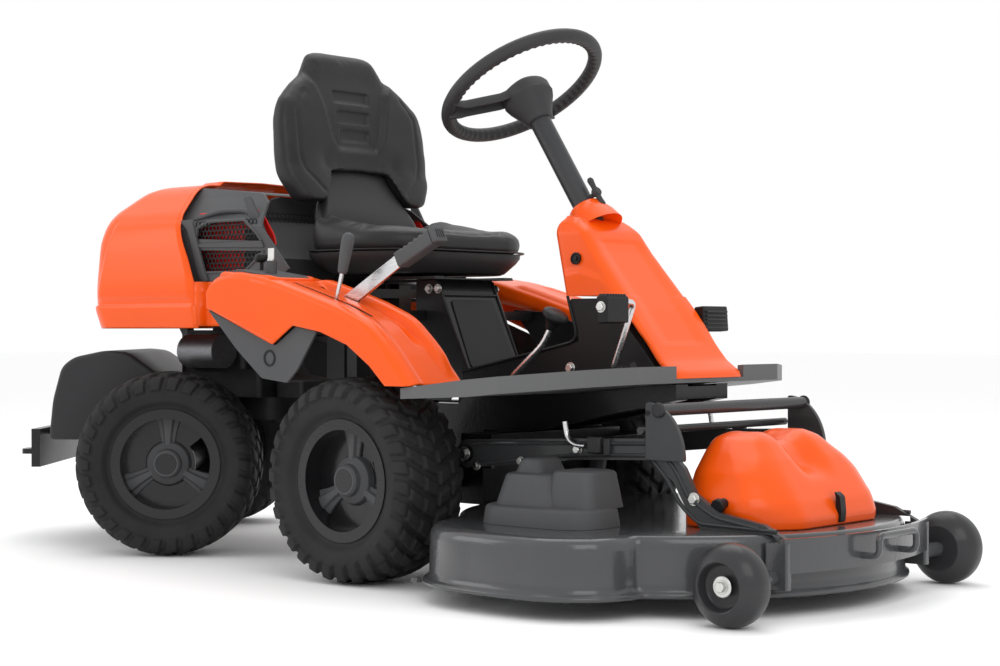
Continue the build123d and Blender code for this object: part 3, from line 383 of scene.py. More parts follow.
def turned(profile, centre, way, steps=64):
    """A closed profile of (radius, distance along way) points turned about an axle through centre."""
    profile = np.asarray(profile, float)
    way = np.asarray(way, float) / np.linalg.norm(way)
    side = np.cross(way, (0.0, 0.0, 1.0) if abs(way[2]) < 0.9 else (1.0, 0.0, 0.0))
    side /= np.linalg.norm(side)
    up = np.cross(way, side)
    turn = np.linspace(0, 2 * np.pi, steps, endpoint=False)[None, :, None]
    points = np.asarray(centre, float) + profile[:, 1, None, None] * way
    points = points + profile[:, 0, None, None] * (np.cos(turn) * side + np.sin(turn) * up)
    return points.reshape(-1, 3), net(len(profile), steps, True, True)


def carried(path, radius, sides=14):
    """A round section carried along a path: path + radius (cos side + sin up), square to the path."""
    path = np.asarray(path, float)
    way = np.gradient(path, axis=0)
    way /= np.linalg.norm(way, axis=1, keepdims=True)
    flat = np.linalg.svd(path - path.mean(0))[2][-1]
    if np.abs(way @ flat).max() > 0.9:
        flat = np.cross(way[0], (0.3, 0.5, 0.8))
    side = flat - way * (way @ flat)[:, None]
    side /= np.linalg.norm(side, axis=1, keepdims=True)
    up = np.cross(way, side)
    turn = np.linspace(0, 2 * np.pi, sides, endpoint=False)[None, :, None]
    radius = np.broadcast_to(np.asarray(radius, float), len(path))[:, None, None]
    return rings(path[:, None] + radius * (np.cos(turn) * side[:, None] + np.sin(turn) * up[:, None]))


def bar(start, end, radius, sides=20):
    """A straight round bar."""
    return carried(np.linspace(start, end, 2), radius, sides)


def across(part):
    """The mirror image of a part on the machine's other side."""
    return part[0] * [1, -1, 1], [face[::-1] for face in part[1]]


pieces_made = []


def shape(name, parts, finish, body, stands_for=(), crease=38.0, bevel=0.0, wall=0.0, soften=0,
          open_net=False):
    """One piece from parts in millimetres, riding on a body, with rounded edges or a wall if asked."""
    points, faces, start = [], [], 0
    for part_points, part_faces in parts:
        points.append(part_points)
        faces += [[start + corner for corner in face] for face in part_faces]
        start += len(part_points)
    mesh = bpy.data.meshes.new(name)
    mesh.from_pydata(place(np.concatenate(points)).tolist(), [], faces)
    work = bmesh.new()
    work.from_mesh(mesh)
    bmesh.ops.remove_doubles(work, verts=work.verts, dist=2e-6)
    bmesh.ops.dissolve_degenerate(work, edges=work.edges, dist=1e-7)
    if not open_net:
        bmesh.ops.recalc_face_normals(work, faces=work.faces)
    work.to_mesh(mesh)
    work.free()
    mesh.polygons.foreach_set("use_smooth", np.ones(len(mesh.polygons), bool))
    mesh.set_sharp_from_angle(angle=math.radians(crease))
    mesh.materials.append(finish)
    made = bpy.data.objects.new(name, mesh)
    bpy.context.collection.objects.link(made)
    if wall:
        shell = made.modifiers.new("wall", "SOLIDIFY")
        shell.thickness = wall * 0.001
        shell.offset = -1.0
    if bevel:
        edge = made.modifiers.new("edge", "BEVEL")
        edge.width = bevel * 0.001
        edge.segments = 2
        edge.limit_method = "ANGLE"
        edge.angle_limit = math.radians(34.0)
        edge.use_clamp_overlap = True
    if soften:
        smoother = made.modifiers.new("soften", "SUBSURF")
        smoother.levels = smoother.render_levels = soften
    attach(made, body)
    if stands_for:
        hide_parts(*stands_for)
    pieces_made.append(made)
    return made


def hexagon(centre, way, size, height):
    """A bolt: a washer, a hexagon head across which size is measured, and a domed end."""
    centre, way = np.asarray(centre, float), np.asarray(way, float)
    washer = turned([(0, 0), (size * 0.72, 0), (size * 0.72, 1.6), (0, 1.6)], centre, way, 20)
    head = turned([(0, 1.6), (size * 0.56, 1.6), (size * 0.56, height - 1), (size * 0.48, height),
                   (0, height)], centre, way, 6)
    return [washer, head]


def dress(finish, *nodes):
    """Gives frame nodes whose shape is right a finish of this lesson."""
    for node in nodes:
        mesh_of = frame["nodes"][node]
        mesh_of.data.materials.clear()
        mesh_of.data.materials.append(finish)


print("tools ready")

# %% [markdown]
# The four road wheels carry block tread tyres. A tyre is a profile turned about the axle, and its tread
# is the same net pushed outwards where a block stands. Six rows of blocks lie across the tread, each
# leaning and shifted round from its neighbour. A block's edge is a steep smooth step, so the net needs
# no extra points there. The deep grooves are then real shape, and they show in the outline.

# %% Tyres
blocks_round = 30


def step(value, low, high):
    """0 below low, 1 above high, and a smooth rise between."""
    t = np.clip((value - low) / (high - low), 0, 1)
    return t * t * (3 - 2 * t)


def tyre_net(steps=450, across_steps=101):
    """Radius and sideways place over angle and position: a bulging wall plus blocks where the rows say."""
    line = rounded([(104.3, -63), (127, -64), (136, -77), (158, -85), (178, -83), (189, -74), (195, -50),
                    (196.5, 0), (195, 50), (189, 74), (178, 83), (158, 85), (136, 77), (127, 64),
                    (104.3, 63)], 14, False, 12)
    travel = np.concatenate([[0], np.cumsum(np.linalg.norm(np.diff(line, axis=0), axis=1))])
    at = np.linspace(0, travel[-1], across_steps)
    radius, out = np.interp(at, travel, line[:, 0]), np.interp(at, travel, line[:, 1])
    girth = at - travel[-1] / 2
    turn = np.linspace(0, 2 * np.pi, steps, endpoint=False)
    girth_net, turn_net = np.meshgrid(girth, turn, indexing="ij")
    lift = np.zeros_like(girth_net)
    rows = [(-88, 27, 0.0, 0.2), (-56, 26, 0.5, 0.45), (-19, 25, 0.05, 0.3),
            (19, 25, 0.55, -0.3), (56, 26, 0.05, -0.45), (88, 27, 0.5, -0.2)]
    for middle, wide, shift, lean in rows:
        beside = girth_net - middle
        phase = (turn_net * blocks_round / (2 * np.pi) + shift + lean * beside / wide) % 1.0
        along = step(phase, 0.10, 0.18) * (1 - step(phase, 0.74, 0.82))
        over = 1 - step(np.abs(beside), wide / 2, wide / 2 + 3)
        lift = np.maximum(lift, along * over)
    height = lift * 7.0
    off_middle = np.abs(girth_net)
    wall_lines = 0.8 * (np.cos((off_middle - 128) / 3.2) > 0.8) * (np.abs(off_middle - 132) < 14)
    slope_r = np.gradient(radius, at)[:, None]
    slope_o = np.gradient(out, at)[:, None]
    normal_r, normal_o = slope_o, -slope_r
    size = np.hypot(normal_r, normal_o)
    radius_net = radius[:, None] + (height + wall_lines) * normal_r / size
    out_net = out[:, None] + (height + wall_lines) * normal_o / size
    return radius_net, out_net, turn


def wheel_points(radius_net, out_net, turn, centre, way, side):
    """The wheel's own coordinates (radius, outward distance, angle) put where the axle is."""
    level = np.array([way[1], -way[0], 0.0])
    spun = np.cos(turn)[..., None] * level + np.sin(turn)[..., None] * np.array([0, 0, 1.0])
    return np.asarray(centre) + radius_net[..., None] * spun + side * out_net[..., None] * np.asarray(way)


wheel_sides = {"front_right": -1, "front_left": 1, "rear_right": -1, "rear_left": 1}
tyre_radii, tyre_outs, tyre_turns = tyre_net()
for corner, side in wheel_sides.items():
    axle = "front_wheel_" if corner.startswith("front") else "rear_wheel_"
    hub = joint_at(axle + corner.split("_")[1])
    way = np.array(joints[axle + corner.split("_")[1]]["axis"])
    skin = wheel_points(tyre_radii, tyre_outs, tyre_turns[None, :], hub, way, side)
    rows, columns = skin.shape[:2]
    shape("tyre_tread_" + corner, [(skin.reshape(-1, 3), net(rows, columns, True, True))], tyre_rubber,
          "wheel_" + corner, ("tyre_" + corner,), crease=50.0)
print("tyres", len(wheel_sides), "with", blocks_round * 6, "blocks each")

# %% [markdown]
# Each rim is a steel dish with three broad spokes. The frame's rim already has the barrel and the three
# windows, so it keeps its shape under black paint. On top of it lie grey moulded spokes with a raised
# spine, and a hub cap turned with rings like a target.

# %% Rim spokes and hub caps
spoke_from, spoke_to = 30.0, 101.0


def spoke_net(angle, base):
    """A spoke's ring section, wide at the rim and pinched half way, with a spine along its middle."""
    reach = np.linspace(spoke_from, spoke_to, 14)
    half = 15 + 15 * ((reach - spoke_from) / (spoke_to - spoke_from)) ** 2
    u = np.array([-1, -0.94, -0.55, -0.38, 0, 0.38, 0.55, 0.94, 1, 0.9, -0.9])
    rise = np.array([0, 5, 7, 13, 14, 13, 7, 5, 0, -4, -4])
    sideways = half[:, None] * u[None, :]
    turn = angle + np.arctan2(sideways, reach[:, None])
    return np.hypot(reach[:, None], sideways), np.broadcast_to(base + rise, sideways.shape), turn


cap_profile = [(0, 52), (9, 52), (10, 57), (14, 57), (15, 53), (20, 53), (21, 58.5), (27, 58.5), (31, 54),
               (33, 44), (46, 36), (50, 26), (50, 20), (0, 20)]
for corner, side in wheel_sides.items():
    axle = "front_wheel_" if corner.startswith("front") else "rear_wheel_"
    hub = joint_at(axle + corner.split("_")[1])
    way = np.array(joints[axle + corner.split("_")[1]]["axis"]) * side
    parts = []
    for angle in (90, 210, 330):
        radii, outs, turns = spoke_net(math.radians(-side * angle), 25.5)
        parts.append(rings(wheel_points(radii, outs, turns, hub, way, 1)))
    shape("wheel_spokes_" + corner, parts, grey, "wheel_" + corner, bevel=0.8)
    shape("wheel_cap_" + corner, [turned(cap_profile, hub, way, 56)], grey, "wheel_" + corner, crease=30)
dress(rim_paint, "rim_front_right", "rim_front_left", "rim_rear_right", "rim_rear_left")
print("rims dressed")

# %% [markdown]
# The hood is one moulded shell. Seen from above, each level of it is a U: up one side, round the
# rounded tail and down the other side. Going up, the U first stands nearly upright, then leans in over
# the shoulder, and on the roof it closes on the middle line. So two numbers give every point: how far
# up the section, and how far round the U. Soft raised fields are pushed out of the net afterwards.

# %% The hood shell
def inside(x, z, outline, soft):
    """1 well inside a convex outline given clockwise or not, 0 outside, with a soft edge inside it."""
    outline = np.asarray(outline, float)
    middle = outline.mean(0)
    depth = np.full(np.broadcast(x, z).shape, 1e9)
    for first, second in zip(outline, np.roll(outline, -1, 0)):
        edge = second - first
        normal = np.array([-edge[1], edge[0]]) / np.hypot(*edge)
        normal *= np.sign(normal @ (middle - first))
        depth = np.minimum(depth, (x - first[0]) * normal[0] + (z - first[1]) * normal[1])
    return step(depth, 0, soft)


def around(half, tail, front, corner, share):
    """A U in plan for each level: side, rounded tail corner, tail, corner, side. share runs from 0 to 1."""
    half, tail, front = half[:, None], tail[:, None], front[:, None]
    corner = np.minimum(corner, half * 0.95)
    side_part = np.clip(share / 0.36, 0, 1)
    arc_part = np.clip((share - 0.36) / 0.09, 0, 1) * np.pi / 2
    tail_part = np.clip((share - 0.45) / 0.05, 0, 1)
    x = np.where(share < 0.36, front + (tail + corner - front) * side_part,
                 tail + corner - corner * np.sin(arc_part))
    y = np.where(share < 0.45, -half + corner * (1 - np.cos(arc_part)), (-half + corner) * (1 - tail_part))
    return x, y


hood_section = rounded([(311, 503), (319, 588), (308, 700), (291, 748), (209, 815), (176, 829), (2, 833)],
                       26, False, 9)
run = np.concatenate([[0], np.cumsum(np.linalg.norm(np.diff(hood_section, axis=0), axis=1))])
rise = np.linspace(0, run[-1], 130)
half_width, height = np.interp(rise, run, hood_section[:, 0]), np.interp(rise, run, hood_section[:, 1])
half_width[-1] = 0.0
tail_x = np.interp(height, [503, 540, 560, 700, 770, 815, 829, 833],
                   [-934, -949, -952, -951, -940, -908, -878, -800])
front_x = np.interp(height, [503, 602, 742, 829, 834], [-562, -576, -650, -702, -704])
half_share = np.linspace(0, 0.5, 120)[None, :]
x_half, y_half = around(half_width, tail_x, front_x, 62.0, half_share)
z_half = np.broadcast_to(height[:, None], x_half.shape).copy()
steep = step(half_width, 285, 300)[:, None]
flank = inside(x_half, z_half, [(-872, 752), (-636, 742), (-592, 628), (-578, 566), (-918, 566)], 9.0)
ledge = 1 - step(z_half, 551, 556)
y_half -= steep * (3.5 * flank + 5.0 * ledge) * (half_share < 0.44)
x_half -= 5.0 * ledge * step(half_share, 0.34, 0.42)
bulge = inside(x_half, y_half, [(-812, -60), (-790, -118), (-640, -150), (-640, 400), (-812, 400)], 14.0)
z_half += 9.0 * bulge * step(height, 818, 829)[:, None]
turn_in = step(x_half, front_x[:, None] - 9, front_x[:, None])
y_half += turn_in * 5.0 * step(half_width, 20, 120)[:, None]
hood_half_net = np.stack([x_half, y_half, z_half], 2)
hood_net = np.concatenate([hood_half_net, hood_half_net[:, ::-1][:, 1:] * [1, -1, 1]], 1)
skirt_path = rounded([(-573, -315), (-560, -306), (-556, -286.5), (-404, -286.5)], 9, False, 7)
skirt_z = np.array([507, 515, 549, 553, 557, 580, 604.5])
skirt_bow = 1 - step(skirt_z, 550, 556)
skirt = np.concatenate([np.broadcast_to(skirt_path[None], (7, *skirt_path.shape)),
                        np.broadcast_to(skirt_z[:, None, None], (7, len(skirt_path), 1))], 2).copy()
skirt[..., 1] -= 4.0 * skirt_bow[:, None]
skirt_right = sheet_of(skirt)
skirt_left = across(skirt_right)
shape("hood_skin", [sheet_of(hood_net)], orange, "hood", ("hood_shell",), wall=3.5, open_net=True, crease=60)
shape("hood_skirts", [skirt_right, skirt_left], orange, "hood", wall=-3.0, open_net=True, crease=60)
hinge = joint_at("hood_open")
ear = [(hinge[0] - 34, hinge[2] - 2), (hinge[0] - 9, hinge[2] - 10), (hinge[0] + 10, hinge[2] - 8),
       (hinge[0] + 10, hinge[2] + 12), (hinge[0] - 34, hinge[2] + 40)]
ears = [straight(ear, side * 80.3, side * 88, "y") for side in (-1, 1)]
shape("hood_hinge_ears", ears, black, "hood", bevel=1.0)
latch = rounded([(-866, 824), (-850, 842), (-836, 843), (-822, 826)], 6)
shape("hood_lift_handle", [straight(latch, -26, 26, "y")], charcoal, "hood", bevel=2.0)
print("hood", hood_net.shape[0], "levels of", hood_net.shape[1], "points")

# %% [markdown]
# In front of the hood sits a dark frame with two meshed windows on each side. The frame keeps its shape
# from the model. The mesh is real: a plate of hexagons, each with a round hole, because a painted mesh
# would lose its depth from the side. A cell needs only twelve faces, as there are hundreds of them.
# Behind it a deep red guard shows through the holes.

# %% Honeycomb mesh and window trims
def comb(outline, y, pitch, hole):
    """Cells whose centres lie inside an outline: each a ring of quads between a hexagon and a round hole."""
    outline = np.asarray(outline, float)
    low, high = outline.min(0), outline.max(0)
    columns = np.arange(low[0], high[0], pitch)
    levels = np.arange(low[1], high[1], pitch * 0.866)
    x, z = np.meshgrid(columns, levels)
    x = x + (np.arange(len(levels)) % 2)[:, None] * pitch / 2
    keep = inside(x, z, outline, 0.001) > 0.5
    centres = np.stack([x[keep], z[keep]], 1)
    turn = np.radians(30 + 60 * np.arange(6))
    ring = np.stack([np.cos(turn), np.sin(turn)], 1)
    outer = centres[:, None] + ring[None] * pitch / math.sqrt(3)
    inner = centres[:, None] + ring[None] * hole
    flat = np.concatenate([outer, inner], 1).reshape(-1, 2)
    points = np.stack([flat[:, 0], np.full(len(flat), float(y)), flat[:, 1]], 1)
    start = 12 * np.arange(len(centres))[:, None, None]
    corner = np.arange(6)
    cell = np.stack([corner, (corner + 1) % 6, 6 + (corner + 1) % 6, 6 + corner], 1)[None]
    return points, (start + cell).reshape(-1, 4).tolist()


upper_window = [(-616, 690), (-616, 742), (-424, 742), (-372, 690)]
lower_window = [(-606, 618), (-606, 684), (-366, 684), (-430, 618)]
mesh_parts = []
for outline in (upper_window, lower_window):
    panel = comb(outline, -281.0, 12.5, 5.3)
    mesh_parts += [panel, across(panel)]
shape("grille_mesh", mesh_parts, black, "hood", wall=2.0, open_net=True, crease=30)
guard = rounded([(-640, 612), (-640, 760), (-430, 760), (-385, 700), (-372, 612)], 12)
guards = [straight(guard, side * 246, side * 250, "y") for side in (-1, 1)]
shape("red_guard", guards, red, "hood", bevel=1.0)
bead = rounded([(-612, 689), (-612, 682), (-376, 676), (-384, 690)], 2)
beads = [straight(bead, side * 283, side * 291, "y") for side in (-1, 1)]
upper_rim = rounded([(-601, 698), (-599, 724), (-562, 737), (-442, 737), (-401, 706), (-386, 690)], 4,
                    False, 5)
lower_rim = rounded([(-592, 676), (-577, 625), (-440, 625), (-378, 668)], 4, False, 5)
for rim in (upper_rim, lower_rim):
    run_of = np.stack([rim[:, 0], np.full(len(rim), -287.0), rim[:, 1]], 1)
    lip = carried(run_of, 3.2, 8)
    beads += [lip, across(lip)]
ridge_path = rounded([(-640, -262, 742), (-560, -255, 762), (-470, -250, 760), (-440, -262, 738)], 30,
                     False, 8)
ridge = carried(ridge_path, 6.0, 10)
beads += [ridge, across(ridge)]
shape("grille_trims", beads, grey, "hood", bevel=0.8)
tip = rounded([(-652, 742), (-626, 722), (-590, 622), (-574, 604), (-556, 604), (-572, 640), (-604, 724),
               (-610, 744)], 8)
tips = [straight(tip, side * 287, side * 293, "y") for side in (-1, 1)]
shape("grille_posts", tips, grey, "hood", bevel=2.5)
dress(grey, "hood_grille")
print("mesh cells", sum(len(part[1]) for part in mesh_parts) // 6)

# %% [markdown]
# The cowl behind the seat draws air in. Seen from the side it is a slanting grey bar with a meshed
# window above and stepped pockets below. It keeps the model's shape as its base; pockets and bar are
# laid on it as raised and sunk plates with rounded edges.

# %% Intake cowl
cowl_y = 262
slant = rounded([(-470, 788), (-448, 792), (-356, 640), (-345, 590), (-372, 590), (-392, 632)], 5)
cowl_parts = [straight(slant, side * (cowl_y - 2), side * (cowl_y + 5), "y") for side in (-1, 1)]
shape("cowl_side_bars", cowl_parts, grey, "chassis", bevel=2.0)
front_steps = []
for side in (-1, 1):
    for low, high, near in ((604, 650, 150), (656, 700, 140)):
        outline = [(side * near, low), (side * 238, low), (side * 244, high), (side * near, high)]
        rise_of = high - 600
        front_steps.append(straight(outline, -362 + rise_of * -0.55, -340 + rise_of * -0.62, "x"))
shape("cowl_steps", front_steps, charcoal, "chassis", bevel=3.0)
cowl_front = comb([(-236, 706), (-236, 770), (236, 770), (236, 706)], 0.0, 12.5, 5.2)
across_at, up_at = cowl_front[0][:, 0], cowl_front[0][:, 2]
slope_points = np.stack([-441 - (up_at - 738) * 0.28 + 4, across_at, up_at], 1)
shape("cowl_mesh", [(slope_points, cowl_front[1])], black, "chassis", wall=2.0, open_net=True)
dress(charcoal, "intake_cowl")
print("cowl dressed")

# %% [markdown]
# The fenders sweep from behind the seat down to the floor plate. A fender is a band: its outer wall
# hangs from a rounded shoulder, its top runs inwards to a low ridge, and an inner wall closes it. Every
# point is given by how far along the sweep it lies and how far across the band. The slots for the two
# levers are left open by leaving faces out, before the sheet gets its thickness.

# %% Fenders
foot_z = 392.4
height_lever_y = -395.0
lift_lever_y = -345.0
sweep = rounded([(-384, 583), (-362, 607), (-300, 617), (-217, 605), (-113, 577), (1, 543), (80, 512),
                 (137, 462), (198, foot_z)], 24, False, 9)
sweep_run = np.concatenate([[0], np.cumsum(np.linalg.norm(np.diff(sweep, axis=0), axis=1))])
sweep_at = np.linspace(0, sweep_run[-1], 170)
top_x, top_z = np.interp(sweep_at, sweep_run, sweep[:, 0]), np.interp(sweep_at, sweep_run, sweep[:, 1])
hem_key = [-384, -217, -160, -62, 20, 92, 198]
hem_x = np.interp(top_x, hem_key, [-382, -181, -121, -40, 34, 95, 136])
hem_z = np.interp(top_x, hem_key, [545, 470, 508, 495, 470, 430, foot_z])


def fender_net(has_slots):
    """Points over (along the sweep, across the band): top + share (hem - top), plus a lift square to it.

    The band goes up the outer wall, round the shoulder, over the top with its ridge, and down inside.
    """
    wall_y = np.full(16, 440.0)
    wall_drop = np.concatenate([np.linspace(1, 0.2, 12), [0.16, 0.13, 0.1, 0.07]])
    bend_y, bend_drop = np.array([439.4, 437.5, 434, 429.5, 424.5]), np.array([8.5, 5.0, 2.2, 0.6, 0.0])
    top_y = np.concatenate([np.linspace(420, 402, 5), [398, 392, 388], np.linspace(384, 356, 8),
                            [350, 342, 334], np.linspace(331, 296, 13)])
    inner_y, inner_drop = np.array([292, 290.3, 290, 290]), np.array([2.0, 7.0, 24.0, 46.0])
    y = np.concatenate([wall_y, bend_y, top_y, inner_y])[None, :]
    drop = np.concatenate([np.zeros(16), bend_drop, np.zeros(len(top_y)), inner_drop])[None, :]
    wall_share = np.concatenate([wall_drop, np.zeros(y.shape[1] - 16)])[None, :]
    down_x, down_z = hem_x - top_x, hem_z - top_z
    length = np.maximum(np.hypot(down_x, down_z), 1.0)
    share = np.where(wall_share > 0, np.maximum(wall_share, 9.0 / length[:, None]), drop / length[:, None])
    share = np.where(np.arange(y.shape[1])[None, :] >= y.shape[1] - 4,
                     drop / np.maximum(length[:, None], 46), share)
    x = top_x[:, None] + down_x[:, None] * share
    z = top_z[:, None] + down_z[:, None] * share
    on_ridge = step(top_x, -190, -150) * (1 - step(top_x, 150, 190))
    ridge = step(y, 296, 304) * (1 - step(y, 318, 330)) * on_ridge[:, None]
    on_scoop = step(top_x, -160, -120) * (1 - step(top_x, 96, 140))
    scoop = step(y, 322, 330) * (1 - step(y, 346, 360)) * on_scoop[:, None]
    outer_ridge = step(y, 404, 412) * (1 - step(y, 422, 432)) * step(top_x, -200, -160)[:, None]
    lift = (10.0 * ridge - 9.0 * scoop + 2.5 * outer_ridge) * (wall_share == 0) * (drop < 1.5)
    slope = np.stack([-np.gradient(top_z), np.gradient(top_x)], 1)
    slope /= np.linalg.norm(slope, axis=1, keepdims=True)
    x = x + lift * slope[:, :1]
    z = z + lift * slope[:, 1:]
    points = np.stack([x, np.broadcast_to(-y, x.shape), z], 2)
    faces = np.array(net(*x.shape))
    if has_slots:
        centre_x, centre_y, centre_z = points.reshape(-1, 3)[faces].mean(1).T
        lever_slot = (np.abs(centre_y - height_lever_y) < 7.5) & (centre_x > -170) & (centre_x < 56)
        lift_slot = (np.abs(centre_y - lift_lever_y) < 11.5) & (centre_x > -150) & (centre_x < 16)
        on_top = centre_z > 500
        faces = faces[~((lever_slot | lift_slot) & on_top)]
    return points.reshape(-1, 3), faces.tolist()


fender_left_net = across(fender_net(False))
shape("fender_skin_right", [fender_net(True)], orange, "chassis", ("fender_right",), wall=4.0,
      open_net=True, crease=50)
shape("fender_skin_left", [fender_left_net], orange, "chassis", ("fender_left",), wall=4.0, open_net=True,
      crease=50)


def on_sweep(x):
    """The height of the fender's top at a distance forwards."""
    return np.interp(x, top_x, top_z)


slot_x = np.linspace(-172, 58, 24)
slot_trim = []
for edge_y in (-386.5, -403.5):
    slot_trim.append(carried(np.stack([slot_x, np.full(24, edge_y), on_sweep(slot_x) + 0.5], 1), 2.0, 8))
    drop_wall = np.stack([np.stack([slot_x, np.full(24, edge_y), on_sweep(slot_x) - depth], 1)
                          for depth in (1.0, 26.0)])
    thick = np.concatenate([drop_wall, drop_wall[::-1] + [0, 1.2 if edge_y < -395 else -1.2, 0]])
    slot_trim.append((thick.reshape(-1, 3), net(4, 24, True)))
slot_trim.append(carried(np.array([(58, -403, on_sweep(58) + 0.5), (60, -395, on_sweep(60) + 0.5),
                                   (58, -387, on_sweep(58) + 0.5)]), 2.0, 8))
shape("lever_slot_trim", slot_trim, black, "chassis")
# A black sheet below the lever slots paints the shade inside them.
shape("lever_slot_shade_sheet", [brick((-168, 40), (-406, -330), (486, 490))], black, "chassis")
end_x = np.linspace(26, 57, 5)
end_corners = ((-401.5, 0.5), (-388.5, 0.5), (-388.5, -16), (-401.5, -16))
end_block = np.stack([np.stack([end_x, np.full(5, y), on_sweep(end_x) + z], 1) for y, z in end_corners], 1)
shape("lever_slot_end", [rings(end_block)], grey, "chassis", bevel=1.0)
rim_corners = [(-352, -312), (-352, -432), (-186, -428), (-186, -318)]
rim_plan = rounded(rim_corners, 16)
rim_path = np.stack([rim_plan[:, 0], rim_plan[:, 1], on_sweep(rim_plan[:, 0]) + 3.0], 1)
rim_closed = np.concatenate([rim_path, rim_path[:2]])
shape("control_rim", [carried(rim_closed, 6.0, 12)], orange, "chassis")
dress(grey, "control_panel")
print("fenders", len(pieces_made), "pieces so far")

# %% [markdown]
# Below each fender hangs a grey side panel with a round window, and its lower edge turns in under the
# machine. It is a flat outline, carried straight and given a soft edge. A dark cup with a thin rim makes
# the window: its black is painted shade for the inside of the opening, so that nothing shows through it.

# %% Side panels
panel_outline = rounded([(-389, 541), (-298, 458), (-222, 401), (-148, 393), (-118, 419), (-62, 496),
                         (-121, 506), (-181, 468)], 5, True, 4)
under = [(-389, 541), (-298, 458), (-222, 401), (-150, 394), (-150, 398), (-220, 406), (-292, 463),
         (-380, 544)]
for place_name, side in (("right", -1), ("left", 1)):
    outer = straight(panel_outline, side * 428.5, side * 434, "y")
    floor_of = straight(under, side * 300, side * 430, "y")
    shape("side_cover_" + place_name, [outer, floor_of], grey, "chassis", ("side_panel_" + place_name,),
          bevel=1.4)
    # The cup's black paints the shade inside the window.
    window_shade_cup = turned([(0, -3), (15, -3), (15, 1.4), (17, 1.4), (17, 2.2), (13, 2.2), (13, -1), (0, -1)],
                 (-198, side * 433.6, 442), (0, side, 0), 32)
    shape("side_cover_hole_" + place_name, [window_shade_cup], black, "chassis")
print("side panels done")

# %% [markdown]
# The steering console is a tall hollow moulding. Its plan at each level is a rounded rectangle, so it is
# a stack of rings; below the knees it steps back to a front shield with a flared foot. The shallow field
# on its face and the soft crease on its flank are pressed into the rings where the formula says.

# %% Steering console
def ring_plan(back, front, half, corner, straight_steps=12, arc_steps=7):
    """A rounded rectangle in plan for each level, with points along its straights as well."""
    back, front, half = (np.asarray(value, float)[:, None] for value in (back, front, half))
    corner = np.minimum(corner, np.minimum(half * 0.9, (front - back) * 0.45))
    turn = np.linspace(0, np.pi / 2, arc_steps)[None, :]
    arcs = []
    for quarter, (end, sign) in enumerate(((front, 1), (back, 1), (back, -1), (front, -1))):
        angle = turn + quarter * np.pi / 2
        middle_x = end - corner if quarter in (0, 3) else end + corner
        arcs.append((middle_x + corner * np.cos(angle), sign * (half - corner) + corner * np.sin(angle)))
    xs, ys = [], []
    share = np.linspace(0, 1, straight_steps + 2)[None, 1:-1]
    for number, (arc_x, arc_y) in enumerate(arcs):
        next_x, next_y = arcs[(number + 1) % 4]
        xs += [arc_x, arc_x[:, -1:] + (next_x[:, :1] - arc_x[:, -1:]) * share]
        ys += [arc_y, arc_y[:, -1:] + (next_y[:, :1] - arc_y[:, -1:]) * share]
    return np.concatenate(xs, 1), np.concatenate(ys, 1)


level = np.concatenate([[407.4, 409, 413, 418], np.linspace(424, 565.5, 34), np.linspace(566.5, 690, 34),
                        [696, 703, 710, 716, 721, 725, 727.4]])
front_of = np.interp(level, [407, 419, 440, 462, 542, 655, 698, 722, 727.5],
                     [580, 577, 545, 527, 467, 374, 344, 312, 296])
back_of = np.interp(level, [407, 566, 566.2, 700, 716, 727.5], [556, 430, 301, 263, 268, 276])
half_of = np.interp(level, [407, 418, 446, 470, 530, 690, 712, 727.5],
                    [112, 112, 110, 108.5, 111, 96, 88, 70])
console_x, console_y = ring_plan(back_of, front_of, half_of, 17.0)
console_z = np.broadcast_to(level[:, None], console_x.shape).copy()
facing = step(console_x, front_of[:, None] - 6, front_of[:, None] - 1)
field = inside(console_z, np.abs(console_y), [(470, -70), (470, 62), (520, 70), (680, 62), (680, -70)], 7.0)
console_x -= 3.5 * facing * field
sides = step(np.abs(console_y), half_of[:, None] - 3, half_of[:, None] - 0.5)
crease_z = np.interp(console_x, [270, 340, 400, 470], [610, 618, 600, 520])
above_crease = step(console_z, crease_z - 7, crease_z + 7)
console_y += np.sign(console_y) * sides * 3.0 * (1 - above_crease) * step(console_z, 470, 500)
foot_flare = 1 - step(console_z, 430, 452)
console_x += facing * foot_flare * 3.0 * (np.abs(console_y) < 92)
console = rings(np.stack([console_x, console_y, console_z], 2))
shape("console_skin", [console], orange, "chassis", ("steering_console",), crease=42)
column_low, column_high = np.array([388.0, 0, 566.0]), joint_at("steering_turn")
column_way = (column_high - column_low) / np.linalg.norm(column_high - column_low)
seat_at = column_low + column_way * (727 - 566) / column_way[2]
collar = turned([(23, -14), (58, -30), (50, -6), (42, 8), (36, 22), (31, 26), (27, 27), (22.8, 26)],
                seat_at, column_way, 48)
shape("console_collar", [collar], orange, "chassis", crease=50)
bolts = []
for side in (-1, 1):
    bolts.append(turned([(0, -2), (12, -2), (12, 2.5), (9.5, 3.2), (8.5, 1.2), (5, 1.2), (4.5, 4), (0, 4)],
                        (330, side * 103.5, 640), (0, side, 0.1), 28))
shape("console_side_bolts", bolts, black, "chassis")
dress(arm_paint, "column_tube")
dress(steel, "steering_shaft")
print("console", console_x.shape[0], "rings of", console_x.shape[1], "points")

# %% [markdown]
# The steering wheel has a thick moulded ring, ribbed on its inner side for grip, two broad spokes that
# are hollow below, and a hub that narrows to the column. The ring is a circle carried round the axle
# whose section swells in a fine wave on the inside. The spokes are bent channels.

# %% Steering wheel
wheel_up = np.cross(column_way, (0.0, 1.0, 0.0))
ring_middle = column_high + column_way * 92.0


def in_wheel(radius, angle, height):
    """Steering wheel coordinates: distance from its axle, angle round it, height along it."""
    flat = np.cos(angle)[..., None] * np.array([0, 1.0, 0]) + np.sin(angle)[..., None] * wheel_up
    return ring_middle + radius[..., None] * flat + height[..., None] * column_way


